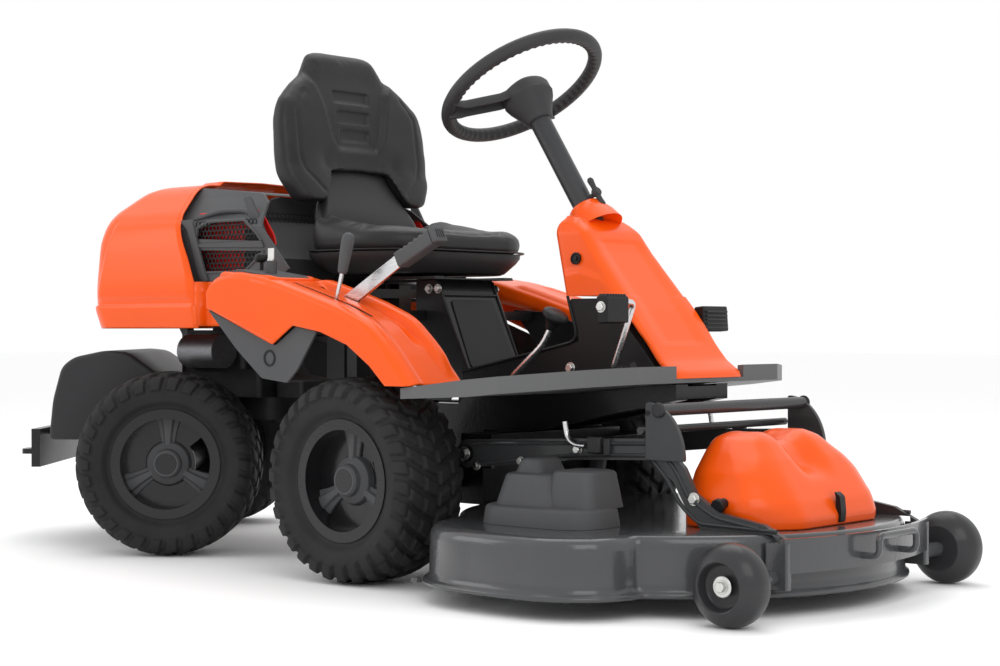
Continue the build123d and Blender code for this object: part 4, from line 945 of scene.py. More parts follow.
round_turn, section_turn = np.meshgrid(np.linspace(0, 2 * np.pi, 360, endpoint=False),
                                       np.linspace(0, 2 * np.pi, 20, endpoint=False), indexing="ij")
inner_side = step(-np.cos(section_turn), 0.1, 0.8) * step(-np.sin(section_turn), -0.3, 0.5)
ribs = 1.6 * inner_side * np.cos(round_turn * 60)
section_size = 15.0 + ribs
ring_net = in_wheel(168 + section_size * np.cos(section_turn), round_turn,
                    section_size * 0.96 * np.sin(section_turn))
steering_parts = [(ring_net.reshape(-1, 3), net(360, 20, True, True))]
for angle in (30.0, 150.0):
    reach = np.linspace(28, 172, 22)
    half = np.interp(reach, [28, 60, 140, 172], [24, 19, 18, 27])
    dish = np.interp(reach, [28, 60, 150, 172], [-8, -13, -8, 0])
    across_u = np.array([-1, -0.9, -0.55, 0, 0.55, 0.9, 1, 0.96, 0.8, 0.55, 0.0, -0.55, -0.8, -0.96])
    high = np.array([-4, 3, 6, 7, 6, 3, -4, -16, -16, -2, 0, -2, -16, -16])
    sideways = half[:, None] * across_u[None, :]
    turn = math.radians(angle) + np.arctan2(sideways, reach[:, None])
    spoke = in_wheel(np.hypot(reach[:, None], sideways), turn,
                     np.broadcast_to(dish[:, None] + high, sideways.shape) - 2)
    steering_parts.append(rings(spoke))
shape("steering_grip", steering_parts, grip_rubber, "steering", ("steering_wheel",), crease=45)
hub_height = np.array([-92, -90, -84, -70, -46, -34, -28, -14, -8, -5, -4])
hub_size = np.array([26, 29, 31, 36, 47, 51, 50, 50, 47, 42, 36])
hub_turn = np.linspace(0, 2 * np.pi, 64, endpoint=False)[None, :]
square = (np.abs(np.cos(hub_turn)) ** 4 + np.abs(np.sin(hub_turn)) ** 4) ** -0.25
blend_of = step(hub_height, -88, -50)[:, None]
hub_radius = hub_size[:, None] * (1 + (square - 1) * 0.35 * blend_of)
hub = in_wheel(hub_radius, hub_turn + np.zeros_like(hub_radius), hub_height[:, None]
               + np.zeros_like(hub_radius))
shape("steering_hub", [rings(hub)], grip_rubber, "steering", crease=28, bevel=1.0)
knob = joint_at("column_knob_turn")
knob_way = np.array(joints["column_knob_turn"]["axis"])
stem = bar(knob + knob_way * 22, knob + knob_way * 40, 5)
boss = turned([(0, 34), (8, 34), (10, 37), (10, 45), (8, 48), (0, 48)], knob, knob_way, 28)
wing_line = np.linspace(-34, 34, 15)
wing = carried(knob + knob_way * 41 + wing_line[:, None] * column_way,
               np.interp(np.abs(wing_line), [0, 12, 30, 34], [7.5, 5.2, 7.0, 4.5]), 14)
shape("column_clamp_knob", [stem, boss, wing], grip_rubber, "column_knob", ("column_knob",))
print("steering done")

# %% [markdown]
# The deck is a deep pressed bowl, upside down. Its plan is two round lobes over the side blades and a
# blunt nose over the middle one. The outline is found from a middle point: in each direction, the lobe
# or the nose that reaches further wins. Rings of that outline, drawn in by different amounts, give the
# flat flange, the wall, and the rounded top edge.

# %% Deck shell
look = np.linspace(0, 2 * np.pi, 360, endpoint=False)
deck_middle = np.array([480.0, 0.0])


def hull_reach(centres, radii):
    """How far the hull of some circles reaches from the deck's middle, in each direction."""
    way = np.linspace(0, 2 * np.pi, 2400, endpoint=False)
    normals = np.stack([np.cos(way), np.sin(way)], 1)
    best = np.argmax(centres @ normals.T + radii[:, None], 0)
    edge = centres[best] + radii[best][:, None] * normals - deck_middle
    angle = np.arctan2(edge[:, 1], edge[:, 0]) % (2 * np.pi)
    order = np.argsort(angle)
    return np.interp(look, angle[order], np.hypot(edge[:, 0], edge[:, 1])[order], period=2 * np.pi)


lobe_centres = np.array([(430.0, -320), (430, 320), (560, -395), (560, 395)])
nose_centres = np.array([(690.0, -90), (690, 90), (430, -90), (430, 90)])


def deck_ring(drawn_in, height):
    """The deck's outline drawn in by an amount, at a height: reach = max(lobes, nose) + a soft corner."""
    lobes = hull_reach(lobe_centres, np.array([225.0, 225, 150, 150]) - drawn_in)
    nose = hull_reach(nose_centres, np.full(4, 225.0) - drawn_in)
    gap = np.abs(lobes - nose)
    reach = np.maximum(lobes, nose) + 6.0 * np.exp(-gap / 12.0) - 6.0 * np.exp(-gap.max() / 12.0)
    return np.stack([deck_middle[0] + reach * np.cos(look), deck_middle[1] + reach * np.sin(look),
                     np.full(360, float(height))], 1)


deck_sections = [(0, 35), (-1.5, 39), (0, 43), (6, 45.5), (10, 49), (11, 60), (12, 118), (13.5, 128),
                 (17, 135), (23, 140), (31, 142.6), (40, 143)]
deck_rings = np.stack([deck_ring(*section) for section in deck_sections])
centre = np.array([*deck_middle, 143.0])
closing = np.stack([centre + (deck_rings[-1] - centre) * scale for scale in (0.8, 0.5, 0.2, 0.0)])
deck_net = np.concatenate([deck_rings, closing])
shape("deck_bowl", [(deck_net.reshape(-1, 3), net(len(deck_net), 360, wrap_columns=True))], deck_paint,
      "deck", ("deck_shell",), wall=3.0, open_net=True, crease=55)
tabs = []
for along, size in ((300, 16), (640, 12)):
    tabs.append(brick((along, along + size), (-544 if along < 400 else -470, -530 if along < 400 else -455),
                      (43, 52)))
shape("deck_tabs", tabs[:1], deck_paint, "deck", bevel=1.5)
print("deck", len(deck_net), "rings")

# %% [markdown]
# Over the middle blade sits the orange cover, two smooth humps with a valley between them. It is a stack
# of rings like the console; the valley is pressed down afterwards, deepest at the top and running out
# at the nose. Grey covers hide the belts at each side: a low tier that follows the lobe, and upper tiers
# that lean inwards.

# %% Belt covers
cover_level = np.concatenate([[144, 147, 154], np.linspace(162, 288, 26),
                              [294, 300, 304.5, 307.5, 309.5, 310.5]])
cover_front = np.interp(cover_level, [144, 160, 190, 230, 262, 295, 305, 311],
                        [866, 869, 855, 826, 802, 768, 752, 735])
cover_back = np.interp(cover_level, [144, 277, 296, 306, 311], [638, 645, 652, 666, 682])
cover_half = np.interp(cover_level, [144, 180, 205, 240, 280, 300, 311], [203, 206, 200, 184, 150, 128, 100])
cover_x, cover_y = ring_plan(cover_back, cover_front, cover_half, 62.0, 14, 10)
nose_taper = step(cover_x, 780, 872)
cover_y = cover_y * (1 - 0.22 * nose_taper)
cover_z = np.broadcast_to(cover_level[:, None], cover_x.shape).copy()
shelf = 1 - step(cover_z, 196, 206)
cover_y += np.sign(cover_y) * 3.0 * shelf * step(np.abs(cover_y), 60, 120)
cap_share = np.array([0.9, 0.7, 0.45, 0.2, 0.0])[:, None]
mid = np.array([cover_x[-1].mean(), 0.0])
lid_x = mid[0] + (cover_x[-1] - mid[0]) * (0.15 + 0.85 * cap_share)
lid_y = cover_y[-1] * cap_share
cover_x, cover_y = np.concatenate([cover_x, lid_x]), np.concatenate([cover_y, lid_y])
cover_z = np.concatenate([cover_z, np.full(lid_x.shape, 311.0)])
valley = (1 - step(np.abs(cover_y), 14, 62)) * step(cover_z, 215, 275)
cover_z = cover_z - 20.0 * valley * np.interp(cover_x, [640, 700, 800, 830], [0.55, 0.8, 1.0, 0.6])
cover_x = cover_x - 12.0 * valley * step(cover_x, 740, 800)
cover_mesh = (np.stack([cover_x, cover_y, cover_z], 2).reshape(-1, 3),
              net(len(cover_x), cover_x.shape[1], wrap_columns=True))
shape("cutter_cover", [cover_mesh], orange, "deck", ("belt_cover",), wall=3.0, open_net=True, crease=48)
strap = rounded([(858, 205), (871, 196), (874, 168), (872, 148), (862, 148), (862, 196)], 5)
shape("cover_strap", [straight(strap, -9, 9, "y")], black, "deck", bevel=1.0)
pegs = [bar((752, -206, 190), (752, -226, 186), 10), bar((752, -219, 187.5), (752, -230, 185), 13)]
shape("cover_peg", pegs, black, "deck", bevel=1.5)
skirt_ring = ring_plan(np.array([646.0, 646.0]), np.array([846.0, 846.0]), np.array([186.0, 186.0]), 60.0)
skirt_points = np.stack([skirt_ring[0], skirt_ring[1] * (1 - 0.2 * step(skirt_ring[0], 760, 850)),
                         np.array([[143.2], [151.0]]) + np.zeros_like(skirt_ring[0])], 2)
shape("cover_base_seal", [rings(skirt_points)], black, "deck")


def tier(back, front, near, far, low, high, corner, lean):
    """A hollow-looking cover: rounded plan at low, drawn in by lean at high, with a soft top edge."""
    levels = np.array([low, high - 6, high - 2, high])
    drawn = np.array([0, lean, lean + 2, lean + 7])
    middle = (near + far) / 2
    x, y = ring_plan(back + drawn * 1.2, front - drawn * 1.2, (far - near) / 2 - drawn, corner, 6, 8)
    z = np.broadcast_to(levels[:, None], x.shape)
    return np.stack([x, y + middle, z], 2)


shield_parts = []
for side in (-1, 1):
    for values in ((322, 586, 248, 414, 143.4, 178, 70, 3), (350, 498, 250, 388, 176, 236, 34, 12),
                   (462, 572, 250, 372, 176, 244, 26, 8), (372, 440, 254, 352, 228, 262, 20, 8)):
        tier_points = tier(*values)
        tier_points[..., 1] *= side
        shield_parts.append(rings(tier_points))
shape("side_belt_covers", shield_parts, grey, "deck", ("belt_shields",), crease=40)
print("covers done")

# %% [markdown]
# Two long arms carry the deck. They are pressed plates: the frame gives their outline, and thin raised
# ribs along both edges show the pressing. Bolts, a bent lock pin and a latch block sit on the near one,
# and the same stand on the far one, because the machine is built alike on both sides.

# %% Arms, brackets and fixings
rib_high = rounded([(176, 276), (440, 286), (620, 292), (666, 246), (694, 198), (752, 166), (846, 152)], 16,
                   False)
rib_low = rounded([(190, 236), (438, 264), (606, 270), (648, 228), (676, 184), (716, 153), (880, 150)], 16,
                  False)
rib_parts, pin_parts, bolt_parts, block_parts = [], [], [], []
for side in (-1, 1):
    for line in (rib_high, rib_low):
        spine = np.stack([line[:, 0], np.full(len(line), side * 234.0), line[:, 1]], 1)
        rib_parts.append(carried(spine, 4.0, 8))
    face = side * 234.4
    for x, z, size in ((440, 274, 15), (706, 196, 17), (300, 246, 13), (186, 232, 13)):
        bolt_parts += hexagon((x, face, z), (0, side, 0), size, 8)
    bolt_parts += hexagon((160, side * 242.2, 255), (0, side, 0), 20, 9)
    block_parts.append(brick((470, 500), sorted((side * 234, side * 246)), (270, 300)))
    block_parts.append(brick((506, 520), sorted((side * 234, side * 243)), (266, 298)))
    pin_line = rounded([(462, side * 240, 282), (436, side * 240, 283), (418, side * 240, 296),
                        (412, side * 240, 326)], 12, False)
    pin_parts.append(carried(pin_line, 5.0, 12))
shape("arm_ribs", rib_parts, arm_paint, "deck")
shape("arm_bolts", bolt_parts, zinc, "deck", bevel=0.5)
shape("arm_latches", block_parts, charcoal, "deck", bevel=2.0)
shape("arm_lock_pins", pin_parts, steel, "deck")
quarter = np.linspace(0, np.pi / 2, 14)
disc = np.concatenate([[(604, 262)], np.stack([604 + 86 * np.sin(quarter), 262 + 106 * np.cos(quarter)], 1)])
bracket_parts = [straight(rounded(disc, 5, True, 4), side * 234.3, side * 243.5, "y") for side in (-1, 1)]
tube_parts = [bar((x, -243, z), (x, 243, z), size, 32) for x, z, size in ((635, 354, 11.5), (592, 315, 7.2))]
shape("lift_brackets", bracket_parts, arm_paint, "deck", ("lift_tube",), bevel=2.0)
shape("lift_cross_tubes", tube_parts, arm_paint, "deck")
# The bracket holes are thin black discs: painted shade for the inside of each hole.
holes = [turned([(0, 0), (5, 0), (5, 0.8), (0, 0.8)], (610, side * 243.4, 348), (0, side, 0), 20)
         for side in (-1, 1)]
caps = [turned([(0, 0), (14, 0), (14, 4), (11, 7), (0, 7)], (635, side * 243, 354), (0, side, 0), 28)
        for side in (-1, 1)]
shape("lift_bracket_hole_shade_discs", holes, black, "deck")
shape("lift_tube_caps", caps, charcoal, "deck", bevel=1.0)
dress(arm_paint, "deck_frame")
dress(deck_paint, "front_bar")
print("arms done")

# %% [markdown]
# Two fat nylon rollers stand at the nose of the deck. A roller is a ball cut flat on both sides, with a
# deep dish outside where the axle, its washer and its bolt can be seen.

# %% Support rollers
bowed = np.linspace(-1, 1, 25)
tread = np.stack([71.3 - 25 * np.abs(bowed) ** 2.6, 38.5 * bowed], 1)
dish_line = [(44, 40.0), (41, 38), (38.5, 20), (34, 16), (14, 15), (14, 18.8), (8.2, 18.8), (8.2, -40),
             (44, -40)]
roller_profile = rounded(np.concatenate([tread, dish_line]), 1.5, True, 3)
for place_name, side in (("right", -1), ("left", 1)):
    hub = joint_at("deck_wheel_" + place_name + "_spin")
    shape("roller_" + place_name, [turned(roller_profile, hub, (0, side, 0), 96)], nylon,
          "deck_wheel_" + place_name, ("deck_wheel_" + place_name,), crease=32)
    bolt = hexagon(hub + [0, side * 27.2, 0], (0, side, 0), 17, 9)
    washer = turned([(0, 24.6), (17, 24.6), (19, 26), (17, 27.6), (0, 27.6)], hub, (0, side, 0), 36)
    shape("roller_bolt_" + place_name, [*bolt, washer], zinc, "deck", bevel=0.5)
print("rollers done")

# %% [markdown]
# The seat is padded, so its covers have to look inflated. Each pad starts as a stack of rings, a little
# smaller than the finished one. A voxel remesh gives it an even skin, the cloth solver blows that skin
# up with air pressure and no gravity, and each point may travel only a few millimetres. Seams and
# pressed channels come afterwards, as a depth field over the points, because a remesh would erase them.

# %% Puffing a pad up
def puffed(part, voxel, cap):
    """The points (millimetres) and faces of a pad after remesh and twenty frames of air pressure."""
    mesh = bpy.data.meshes.new("pad")
    mesh.from_pydata(place(part[0]).tolist(), [], part[1])
    pad = bpy.data.objects.new("pad", mesh)
    bpy.context.collection.objects.link(pad)
    even = pad.modifiers.new("even", "REMESH")
    even.mode = "VOXEL"
    even.voxel_size = voxel * 0.001
    skin = bpy.data.meshes.new_from_object(pad.evaluated_get(bpy.context.evaluated_depsgraph_get()))
    pad.modifiers.clear()
    pad.data = skin
    before = np.empty(len(skin.vertices) * 3)
    skin.vertices.foreach_get("co", before)
    after = before
    cloth = pad.modifiers.new("air", "CLOTH")
    cloth.settings.quality = 5
    cloth.settings.mass = 0.3
    cloth.settings.use_pressure = True
    cloth.settings.uniform_pressure_force = 7.0
    cloth.settings.tension_stiffness = 12.0
    cloth.settings.compression_stiffness = 12.0
    cloth.settings.shear_stiffness = 4.0
    cloth.settings.bending_stiffness = 0.6
    cloth.settings.effector_weights.gravity = 0.0
    cloth.collision_settings.use_collision = False
    for number in range(1, 21):
        bpy.context.scene.frame_set(number)
    blown = pad.evaluated_get(bpy.context.evaluated_depsgraph_get()).to_mesh()
    after = np.empty(len(blown.vertices) * 3)
    blown.vertices.foreach_get("co", after)
    bpy.context.scene.frame_set(1)
    before, after = before.reshape(-1, 3) * 1000.0, after.reshape(-1, 3) * 1000.0
    travel = after - before
    length = np.linalg.norm(travel, axis=1, keepdims=True)
    points = before + travel * np.minimum(1.0, cap / np.maximum(length, 1e-6)) - [front_axle_x * 1000.0, 0, 0]
    faces = [list(polygon.vertices) for polygon in skin.polygons]
    bpy.data.objects.remove(pad)
    print("pad of", len(points), "points moved up to", round(float(min(length.max(), cap)), 1), "mm")
    return points, faces


def evenly(line, count):
    """A closed line of corners as count points at equal steps along it."""
    closed = np.concatenate([line, line[:1]])
    run = np.concatenate([[0], np.cumsum(np.linalg.norm(np.diff(closed, axis=0), axis=1))])
    at = np.linspace(0, run[-1], count + 1)[:-1]
    return np.stack([np.interp(at, run, closed[:, axis]) for axis in (0, 1)], 1)


def groove(distance, width, depth):
    """A soft channel: depth exp(-(distance / width)^2), deepest where the distance is zero."""
    return depth * np.exp(-(distance / width) ** 2)


def line_distance(u, v, line):
    """The distance of every point (u, v) from a line of corners."""
    line = np.asarray(line, float)
    near = np.full(u.shape, 1e9)
    for start, end in zip(line[:-1], line[1:]):
        way = end - start
        t = np.clip(((u - start[0]) * way[0] + (v - start[1]) * way[1]) / (way @ way), 0, 1)
        near = np.minimum(near, np.hypot(u - start[0] - t * way[0], v - start[1] - t * way[1]))
    return near


print("pad tools ready")

# %% [markdown]
# The seat cushion is broad at the back and narrows to its rounded front. Its sides carry bolsters that
# climb towards the back, and a seam runs all round where the top cover meets the lower one. The rings
# start at the flat bottom, bulge out at the seam, and close over the crown.

# %% Seat cushion
cushion_plan = rounded([(-322, -200), (-294, -238), (-108, -239), (-25, -164), (-25, 164), (-108, 239),
                        (-294, 238), (-322, 200)], 54, True, 9)
cushion_plan = evenly(cushion_plan, 180)


def cushion_top(x, y):
    """Height of the cushion's top: 705 + bolster (5 + 24 rear) + rise at the tail, a smooth step each."""
    rear = step(-x, 120, 300)
    bolster = step(np.abs(y), 100, 190)
    tail_rise = 26 * step(-x, 262, 318) * (1 - 0.4 * bolster)
    return 705 + 3 * step(-x, 40, 110) + 24 * rear * bolster + 5 * bolster + tail_rise


stack = [(0.0, 0), (0.5, 0), (0.9, 0), (0.965, 0.06), (0.985, 0.22), (0.992, 0.45), (0.985, 0.66),
         (0.965, 0.84), (0.93, 0.94), (0.88, 0.985), (0.8, 1), (0.7, 1), (0.6, 1), (0.5, 1), (0.4, 1),
         (0.3, 1), (0.2, 1), (0.1, 1), (0.0, 1)]
cushion_centre = np.array([-176.0, 0.0])
levels = []
for scale, share in stack:
    flat = cushion_centre + (cushion_plan - cushion_centre) * scale
    levels.append(np.column_stack([flat, 665.6 + (cushion_top(flat[:, 0], flat[:, 1]) - 665.6) * share]))
levels = np.stack(levels)
cushion_start = (levels.reshape(-1, 3), net(len(stack), 180, wrap_columns=True))
points, faces = puffed(cushion_start, 5.0, 6.0)
x, y, z = points.T
upper = z > 684
panel_line = line_distance(x, np.abs(y),
                           [(-312, 118), (-238, 128), (-120, 150), (-60, 118), (-44, 60), (-42, 0)])
points[:, 2] -= groove(panel_line, 3.2, 3.4) * upper
cross_line = line_distance(x, np.abs(y), [(-205, 0), (-205, 100), (-222, 126)])
points[:, 2] -= groove(cross_line, 4.0, 2.2) * upper
points[:, 2] = np.maximum(points[:, 2], 664.8)
cushion = shape("cushion_cover", [(points, faces)], seat_vinyl, "seat", ("seat_cushion",), crease=180,
                soften=1)
welt_plan = cushion_centre + (cushion_plan - cushion_centre) * 1.004
welt_path = np.column_stack([welt_plan, np.full(len(welt_plan), 667.0)])
welt = carried(np.concatenate([welt_path, welt_path[:2]]), 2.0, 10)
shape("cushion_welt", [welt], black, "seat")
print("cushion", len(points), "points")

# %% [markdown]
# The back rest is one moulded pad that leans backwards. We draw it from the front as an outline, and
# give each point a depth: the middle panel sinks behind two broad wings, three slots sink again inside
# it, and the lower edge arches over the neck that joins it to the cushion.

# %% Back rest
back_half_line = [(0, 1125), (64, 1125), (94, 1121), (108, 1104), (132, 1068), (166, 1046), (214, 1002),
                  (226, 960), (228, 880), (223, 832), (190, 782), (138, 780), (124, 792), (100, 838),
                  (88, 848), (0, 851)]
back_line = rounded(np.concatenate([back_half_line, [(-u, v) for u, v in back_half_line[-2:0:-1]]]), 15,
                    True, 5)
back_middle = np.array([0.0, 950.0])
back_line = back_middle + (back_line - back_middle) * 1.02
back_line = evenly(back_line, 240)


def back_front(v):
    """How far back the face of the wings lies at a height."""
    return np.interp(v, [742, 790, 860, 1000, 1060, 1122], [-328, -346, -374, -392, -409, -430])


def back_rear(v):
    return np.interp(v, [742, 790, 850, 1000, 1060, 1122], [-396, -410, -424, -432, -450, -466])


rows = []
for scale, depth in ((0.0, 0), (0.3, 0), (0.55, 0), (0.75, 0), (0.88, 0), (0.94, 0.02), (0.97, 0.08),
                     (0.988, 0.2), (0.995, 0.4), (0.995, 0.6), (0.985, 0.82), (0.96, 0.94), (0.92, 0.99),
                     (0.8, 1), (0.6, 1), (0.3, 1), (0.0, 1)):
    flat = back_middle + (back_line - back_middle) * scale
    front, rear_x = back_front(flat[:, 1]), back_rear(flat[:, 1])
    rows.append(np.column_stack([front + (rear_x - front) * depth, flat[:, 0], flat[:, 1]]))
back_start = (np.stack(rows).reshape(-1, 3), net(len(rows), 240, wrap_columns=True))
points, faces = puffed(back_start, 5.0, 5.0)
x, y, z = points.T
facing = step(x, (back_front(z) + back_rear(z)) / 2, back_front(z) - 6)
seam_y = np.interp(z, [900, 930, 990, 1040, 1066, 1090], [58, 78, 92, 108, 128, 150])
panel = (1 - step(np.abs(y), seam_y - 8, seam_y + 3)) * step(z, 900, 912)
sink = 13.0 * panel * (1 - step(z, 1050, 1110) * 0.5)
slots = 0
for slot_top, slot_half in ((1038, 58), (993, 52), (951, 46)):
    wide = 1 - step(np.abs(y), slot_half - 6, slot_half)
    below_top = 1 - step(z, slot_top - 5, slot_top)
    slots = slots + wide * step(z, slot_top - 30, slot_top - 25) * below_top
seam = line_distance(np.abs(y), z, [(0, 902), (56, 902), (78, 930), (92, 990), (108, 1040), (128, 1066)])
wing_seam = line_distance(np.abs(y), z, [(130, 806), (176, 850), (186, 880), (184, 985), (150, 1030)])
sink = sink + 7.0 * slots + groove(seam, 3.0, 5.0) + groove(wing_seam, 3.4, 3.4)
waist = line_distance(np.abs(y), z, [(0, 880), (100, 876)])
points[:, 0] -= facing * (sink + groove(waist, 26.0, 6.0))
back_pad = shape("back_cover", [(points, faces)], seat_vinyl, "seat", ("seat_back",), crease=180, soften=1)
neck_z = np.array([694, 720, 745, 780, 815, 845, 870, 884])
neck_front = np.array([-316, -318, -325, -348, -370, -386, -398, -406])
neck_half = np.array([150, 150, 146, 126, 108, 96, 88, 82])
neck_x, neck_y = ring_plan(neck_front - np.array([40, 46, 50, 38, 26, 20, 16, 12]), neck_front, neck_half,
                           16.0)
neck = rings(np.stack([neck_x - 6.0 * (np.abs(neck_y) / 112) ** 2, neck_y,
                       np.broadcast_to(neck_z[:, None], neck_x.shape)], 2))
shape("seat_neck", [neck], seat_vinyl, "seat", crease=60, soften=1)
rear_cover_line = back_middle + (back_line - back_middle) * 0.9
cover_rear = [np.column_stack([back_rear(rear_cover_line[:, 1]) + shift, rear_cover_line])
              for shift in (3.0, -3.0)]
shape("back_shell", [rings(np.stack(cover_rear))], black, "seat", bevel=2.0)
print("back rest", len(points), "points")

# %% [markdown]
# The tray under the cushion is a thin moulding whose sides slope in to the runners. It is lofted from
# the cushion's own plan, smaller at the bottom and nearly full size at the seam.

# %% Seat tray
tray = []
for scale, height in ((0.70, 619), (0.79, 618.6), (0.83, 622), (0.945, 644), (0.985, 655), (0.99, 663.2),
                      (0.94, 664.0)):
    flat = cushion_centre + [-6, 0] + (cushion_plan - cushion_centre) * scale
    tray.append(np.column_stack([flat, np.full(len(flat), float(height))]))
tray = np.stack(tray)
shape("seat_tray", [rings(tray)], charcoal, "seat", ("seat_pan",), crease=50)
dress(frame_paint, "seat_rails")
print("seat tray ready")

# %% [markdown]
# The levers and pedals are what hands and feet touch. Each lever is a steel bar with a moulded grip,
# and each pedal is a bent rod with a pad. They ride on their own bodies, so they can be worked.

# %% Levers
def toward(points, start, end):
    """Local (along, across, up) millimetres laid on a line from start to end."""
    way = np.asarray(end, float) - np.asarray(start, float)
    way /= np.linalg.norm(way)
    aside = np.array([0.0, -1.0, 0.0])
    up = np.cross(way, aside)
    points = np.asarray(points, float)
    return np.asarray(start, float) + points[..., :1] * way + points[..., 1:2] * aside + points[..., 2:] * up


grip_start = np.array([86.0, lift_lever_y, 636.0])
grip_end = np.array([176.0, lift_lever_y, 680.0])
grip_length = np.linalg.norm(grip_end - grip_start)
grip_at = np.linspace(0, grip_length, 60)[:, None]
waves = 1.6 * (1 - np.cos(grip_at * 0.42)) * step(grip_at, 16, 24) * (1 - step(grip_at, 84, 96))
corner = rounded([(-16.5, -16), (16.5, -16), (16.5, 16), (-16.5, 16)], 5, True, 5)
grip_up = np.where(corner[None, :, 1] < 0, corner[None, :, 1] + waves, corner[None, :, 1])
grip_net = np.stack([np.broadcast_to(grip_at, grip_up.shape),
                     np.broadcast_to(corner[None, :, 0], grip_up.shape), grip_up], 2)
ahead = np.array([0.4, 2, 2.4, 12, 13.5])[:, None]
size = np.array([0.86, 0.86, 1.03, 1.03, 0.9])[:, None]
cap_net = np.stack([grip_length + ahead + 0 * corner[None, :, 0], corner[None, :, 0] * size,
                    corner[None, :, 1] * size], 2)
shape("lift_grip",
      [rings(toward(grip_net, grip_start, grip_end)), rings(toward(cap_net, grip_start, grip_end))], grey,
      "lift_lever", crease=40)
cap_slots = []
for offset in (-9, -3, 3, 9):
    section = rounded([(offset - 1.4, -9), (offset + 1.4, -9), (offset + 1.4, 9), (offset - 1.4, 9)], 1.0,
                      True, 3)
    levels = grip_length + np.array([12.0, 13.9])[:, None] + 0 * section[None, :, 0]
    slot_net = np.stack([levels, np.broadcast_to(section[None, :, 0], levels.shape),
                         np.broadcast_to(section[None, :, 1], levels.shape)], 2)
    cap_slots.append(rings(toward(slot_net, grip_start, grip_end)))
shape("lift_grip_slots", cap_slots, black, "lift_lever")
lift_line = rounded([(-138, 512), (-122, 504), (112, 638), (100, 662), (-140, 530)], 4)
lift_bar = [straight(lift_line, lift_lever_y - 3.5, lift_lever_y + 3.5, "y")]
lift_bar.append(bar((-130, lift_lever_y, 520), (-130, -298, 520), 8))
shape("lift_bar", lift_bar, steel, "lift_lever", ("lift_lever",), bevel=1.5)

height_low = np.array([-60.0, height_lever_y, 512.0])
height_top = np.array([-9.0, height_lever_y, 690.0])
grip_foot = np.array([-29.0, height_lever_y, 612.0])
height_parts = [bar(height_low, (-26, height_lever_y, 622), 4.2), bar(height_low, height_low - [0, 36, 0], 6)]
shape("height_rod", height_parts, steel, "height_lever", ("height_lever",))
oval = [(0, -1), (6.5, -1), (9.5, 2), (12.2, 40), (13, 62), (12.2, 72), (9, 79), (4, 81.5), (0, 82)]
grip_way = (height_top - grip_foot) / np.linalg.norm(height_top - grip_foot)
shape("height_grip", [turned(rounded(oval, 4, False, 4), grip_foot, grip_way, 40)], grey, "height_lever")

throttle_foot = np.array([-306.0, -359.0, 606.0])
throttle_parts = [bar((-306, -365.4, 606), (-306, -352.6, 606), 13.6, 32),
                  bar(throttle_foot, (-306, -359, 642), 4),
                  turned(rounded([(0, 0), (12, 0), (15, 5), (15, 12), (11, 18), (0, 19.5)], 4, False, 5),
                         (-306, -359, 640), (0, 0, 1), 32)]
shape("throttle_knob", throttle_parts, black, "throttle_lever", ("throttle_lever",), bevel=0.6)
key_parts = [turned([(0, 0), (8, 0), (8, 5), (0, 5)], (-240, -392, 640.4), (0, 0, 1), 24),
             brick((-249, -231), (-393.2, -390.8), (645, 667))]
shape("key_bow", key_parts, zinc, "ignition_key", ("ignition_key",), bevel=0.6)

# %% [markdown]
# The forward pedal ends in a round rubber mushroom, and the reverse and brake pedals end in square
# blocks whose upper faces are ribbed. A small hexagon bolt holds each block.

# %% Pedals
def bent(points, radius, bend):
    """A round rod through points, with each bend rounded."""
    return carried(rounded(np.array(points, float), bend, False, 7), radius, 16)


root_y = 108.0
forward_rod = bent([(263, -root_y, 404), (263, -225, 404), (345, -225, 470), (378, -225, 522)], 6.0, 16)
mushroom_way = np.array([24.0, 0.0, 40.0]) / np.hypot(24, 40)
mushroom = [(0, -16), (9, -16), (11, -8), (15, 4), (24, 8), (26.4, 12), (26.4, 17), (24, 21), (15, 24.5),
            (0, 26)]
shape("forward_rod", [forward_rod], steel, "forward_pedal", ("forward_pedal",), crease=60)
shape("forward_pad", [turned(rounded(mushroom, 3, False, 4), (370, -225, 514), mushroom_way, 48)], black,
      "forward_pedal", crease=50)
reverse_rod = bent([(458, -root_y, 424), (458, -150, 424), (508, -150, 551), (511, -192, 553)], 6.0, 14)
shape("reverse_rod", [reverse_rod], steel, "reverse_pedal", ("reverse_pedal",), crease=60)
reverse_line = rounded([(500, 511), (498, 561), (518, 565.5), (524, 560), (524, 513)], 4)
shape("reverse_pad", [straight(reverse_line, -253.5, -186.5, "y")], black, "reverse_pedal", bevel=3.0)
rib_parts = [brick((499, 522.8), (y - 2.2, y + 2.2), (560, 566.6)) for y in np.linspace(-244, -196, 7)]
shape("reverse_pad_ribs", rib_parts, charcoal, "reverse_pedal", bevel=0.8)
shape("reverse_pad_bolt", hexagon((510, -253.3, 542), (0, -1, 0), 15, 7), zinc, "reverse_pedal", bevel=0.4)
brake_rod = bent([(440, root_y, 440), (440, 134, 440), (470, 140, 512), (470, 180, 524)], 6.0, 12)
shape("brake_rod", [brake_rod], steel, "brake_pedal", ("brake_pedal",), crease=60)
brake_line = rounded([(464, 495), (460, 545), (484, 547.5), (488, 497)], 4)
shape("brake_pad", [straight(brake_line, 113, 197.5, "y")], black, "brake_pedal", bevel=3.0)
brake_ribs = [brick((485.2, 489.4), (120, 191), (z - 2, z + 2)) for z in (504, 512, 520, 528, 536)]
shape("brake_pad_ribs", brake_ribs, charcoal, "brake_pedal", bevel=0.8)
print("levers and pedals", len(pieces_made), "pieces so far")

# %% [markdown]
# The floor plate is pressed steel with a rubber mat. Its frame shape is right, so it only gets a finish
# here, and the mat is a ribbed sheet that follows its slope. The tunnel in the middle is a folded plate
# with a rolled lip along its upper edge.

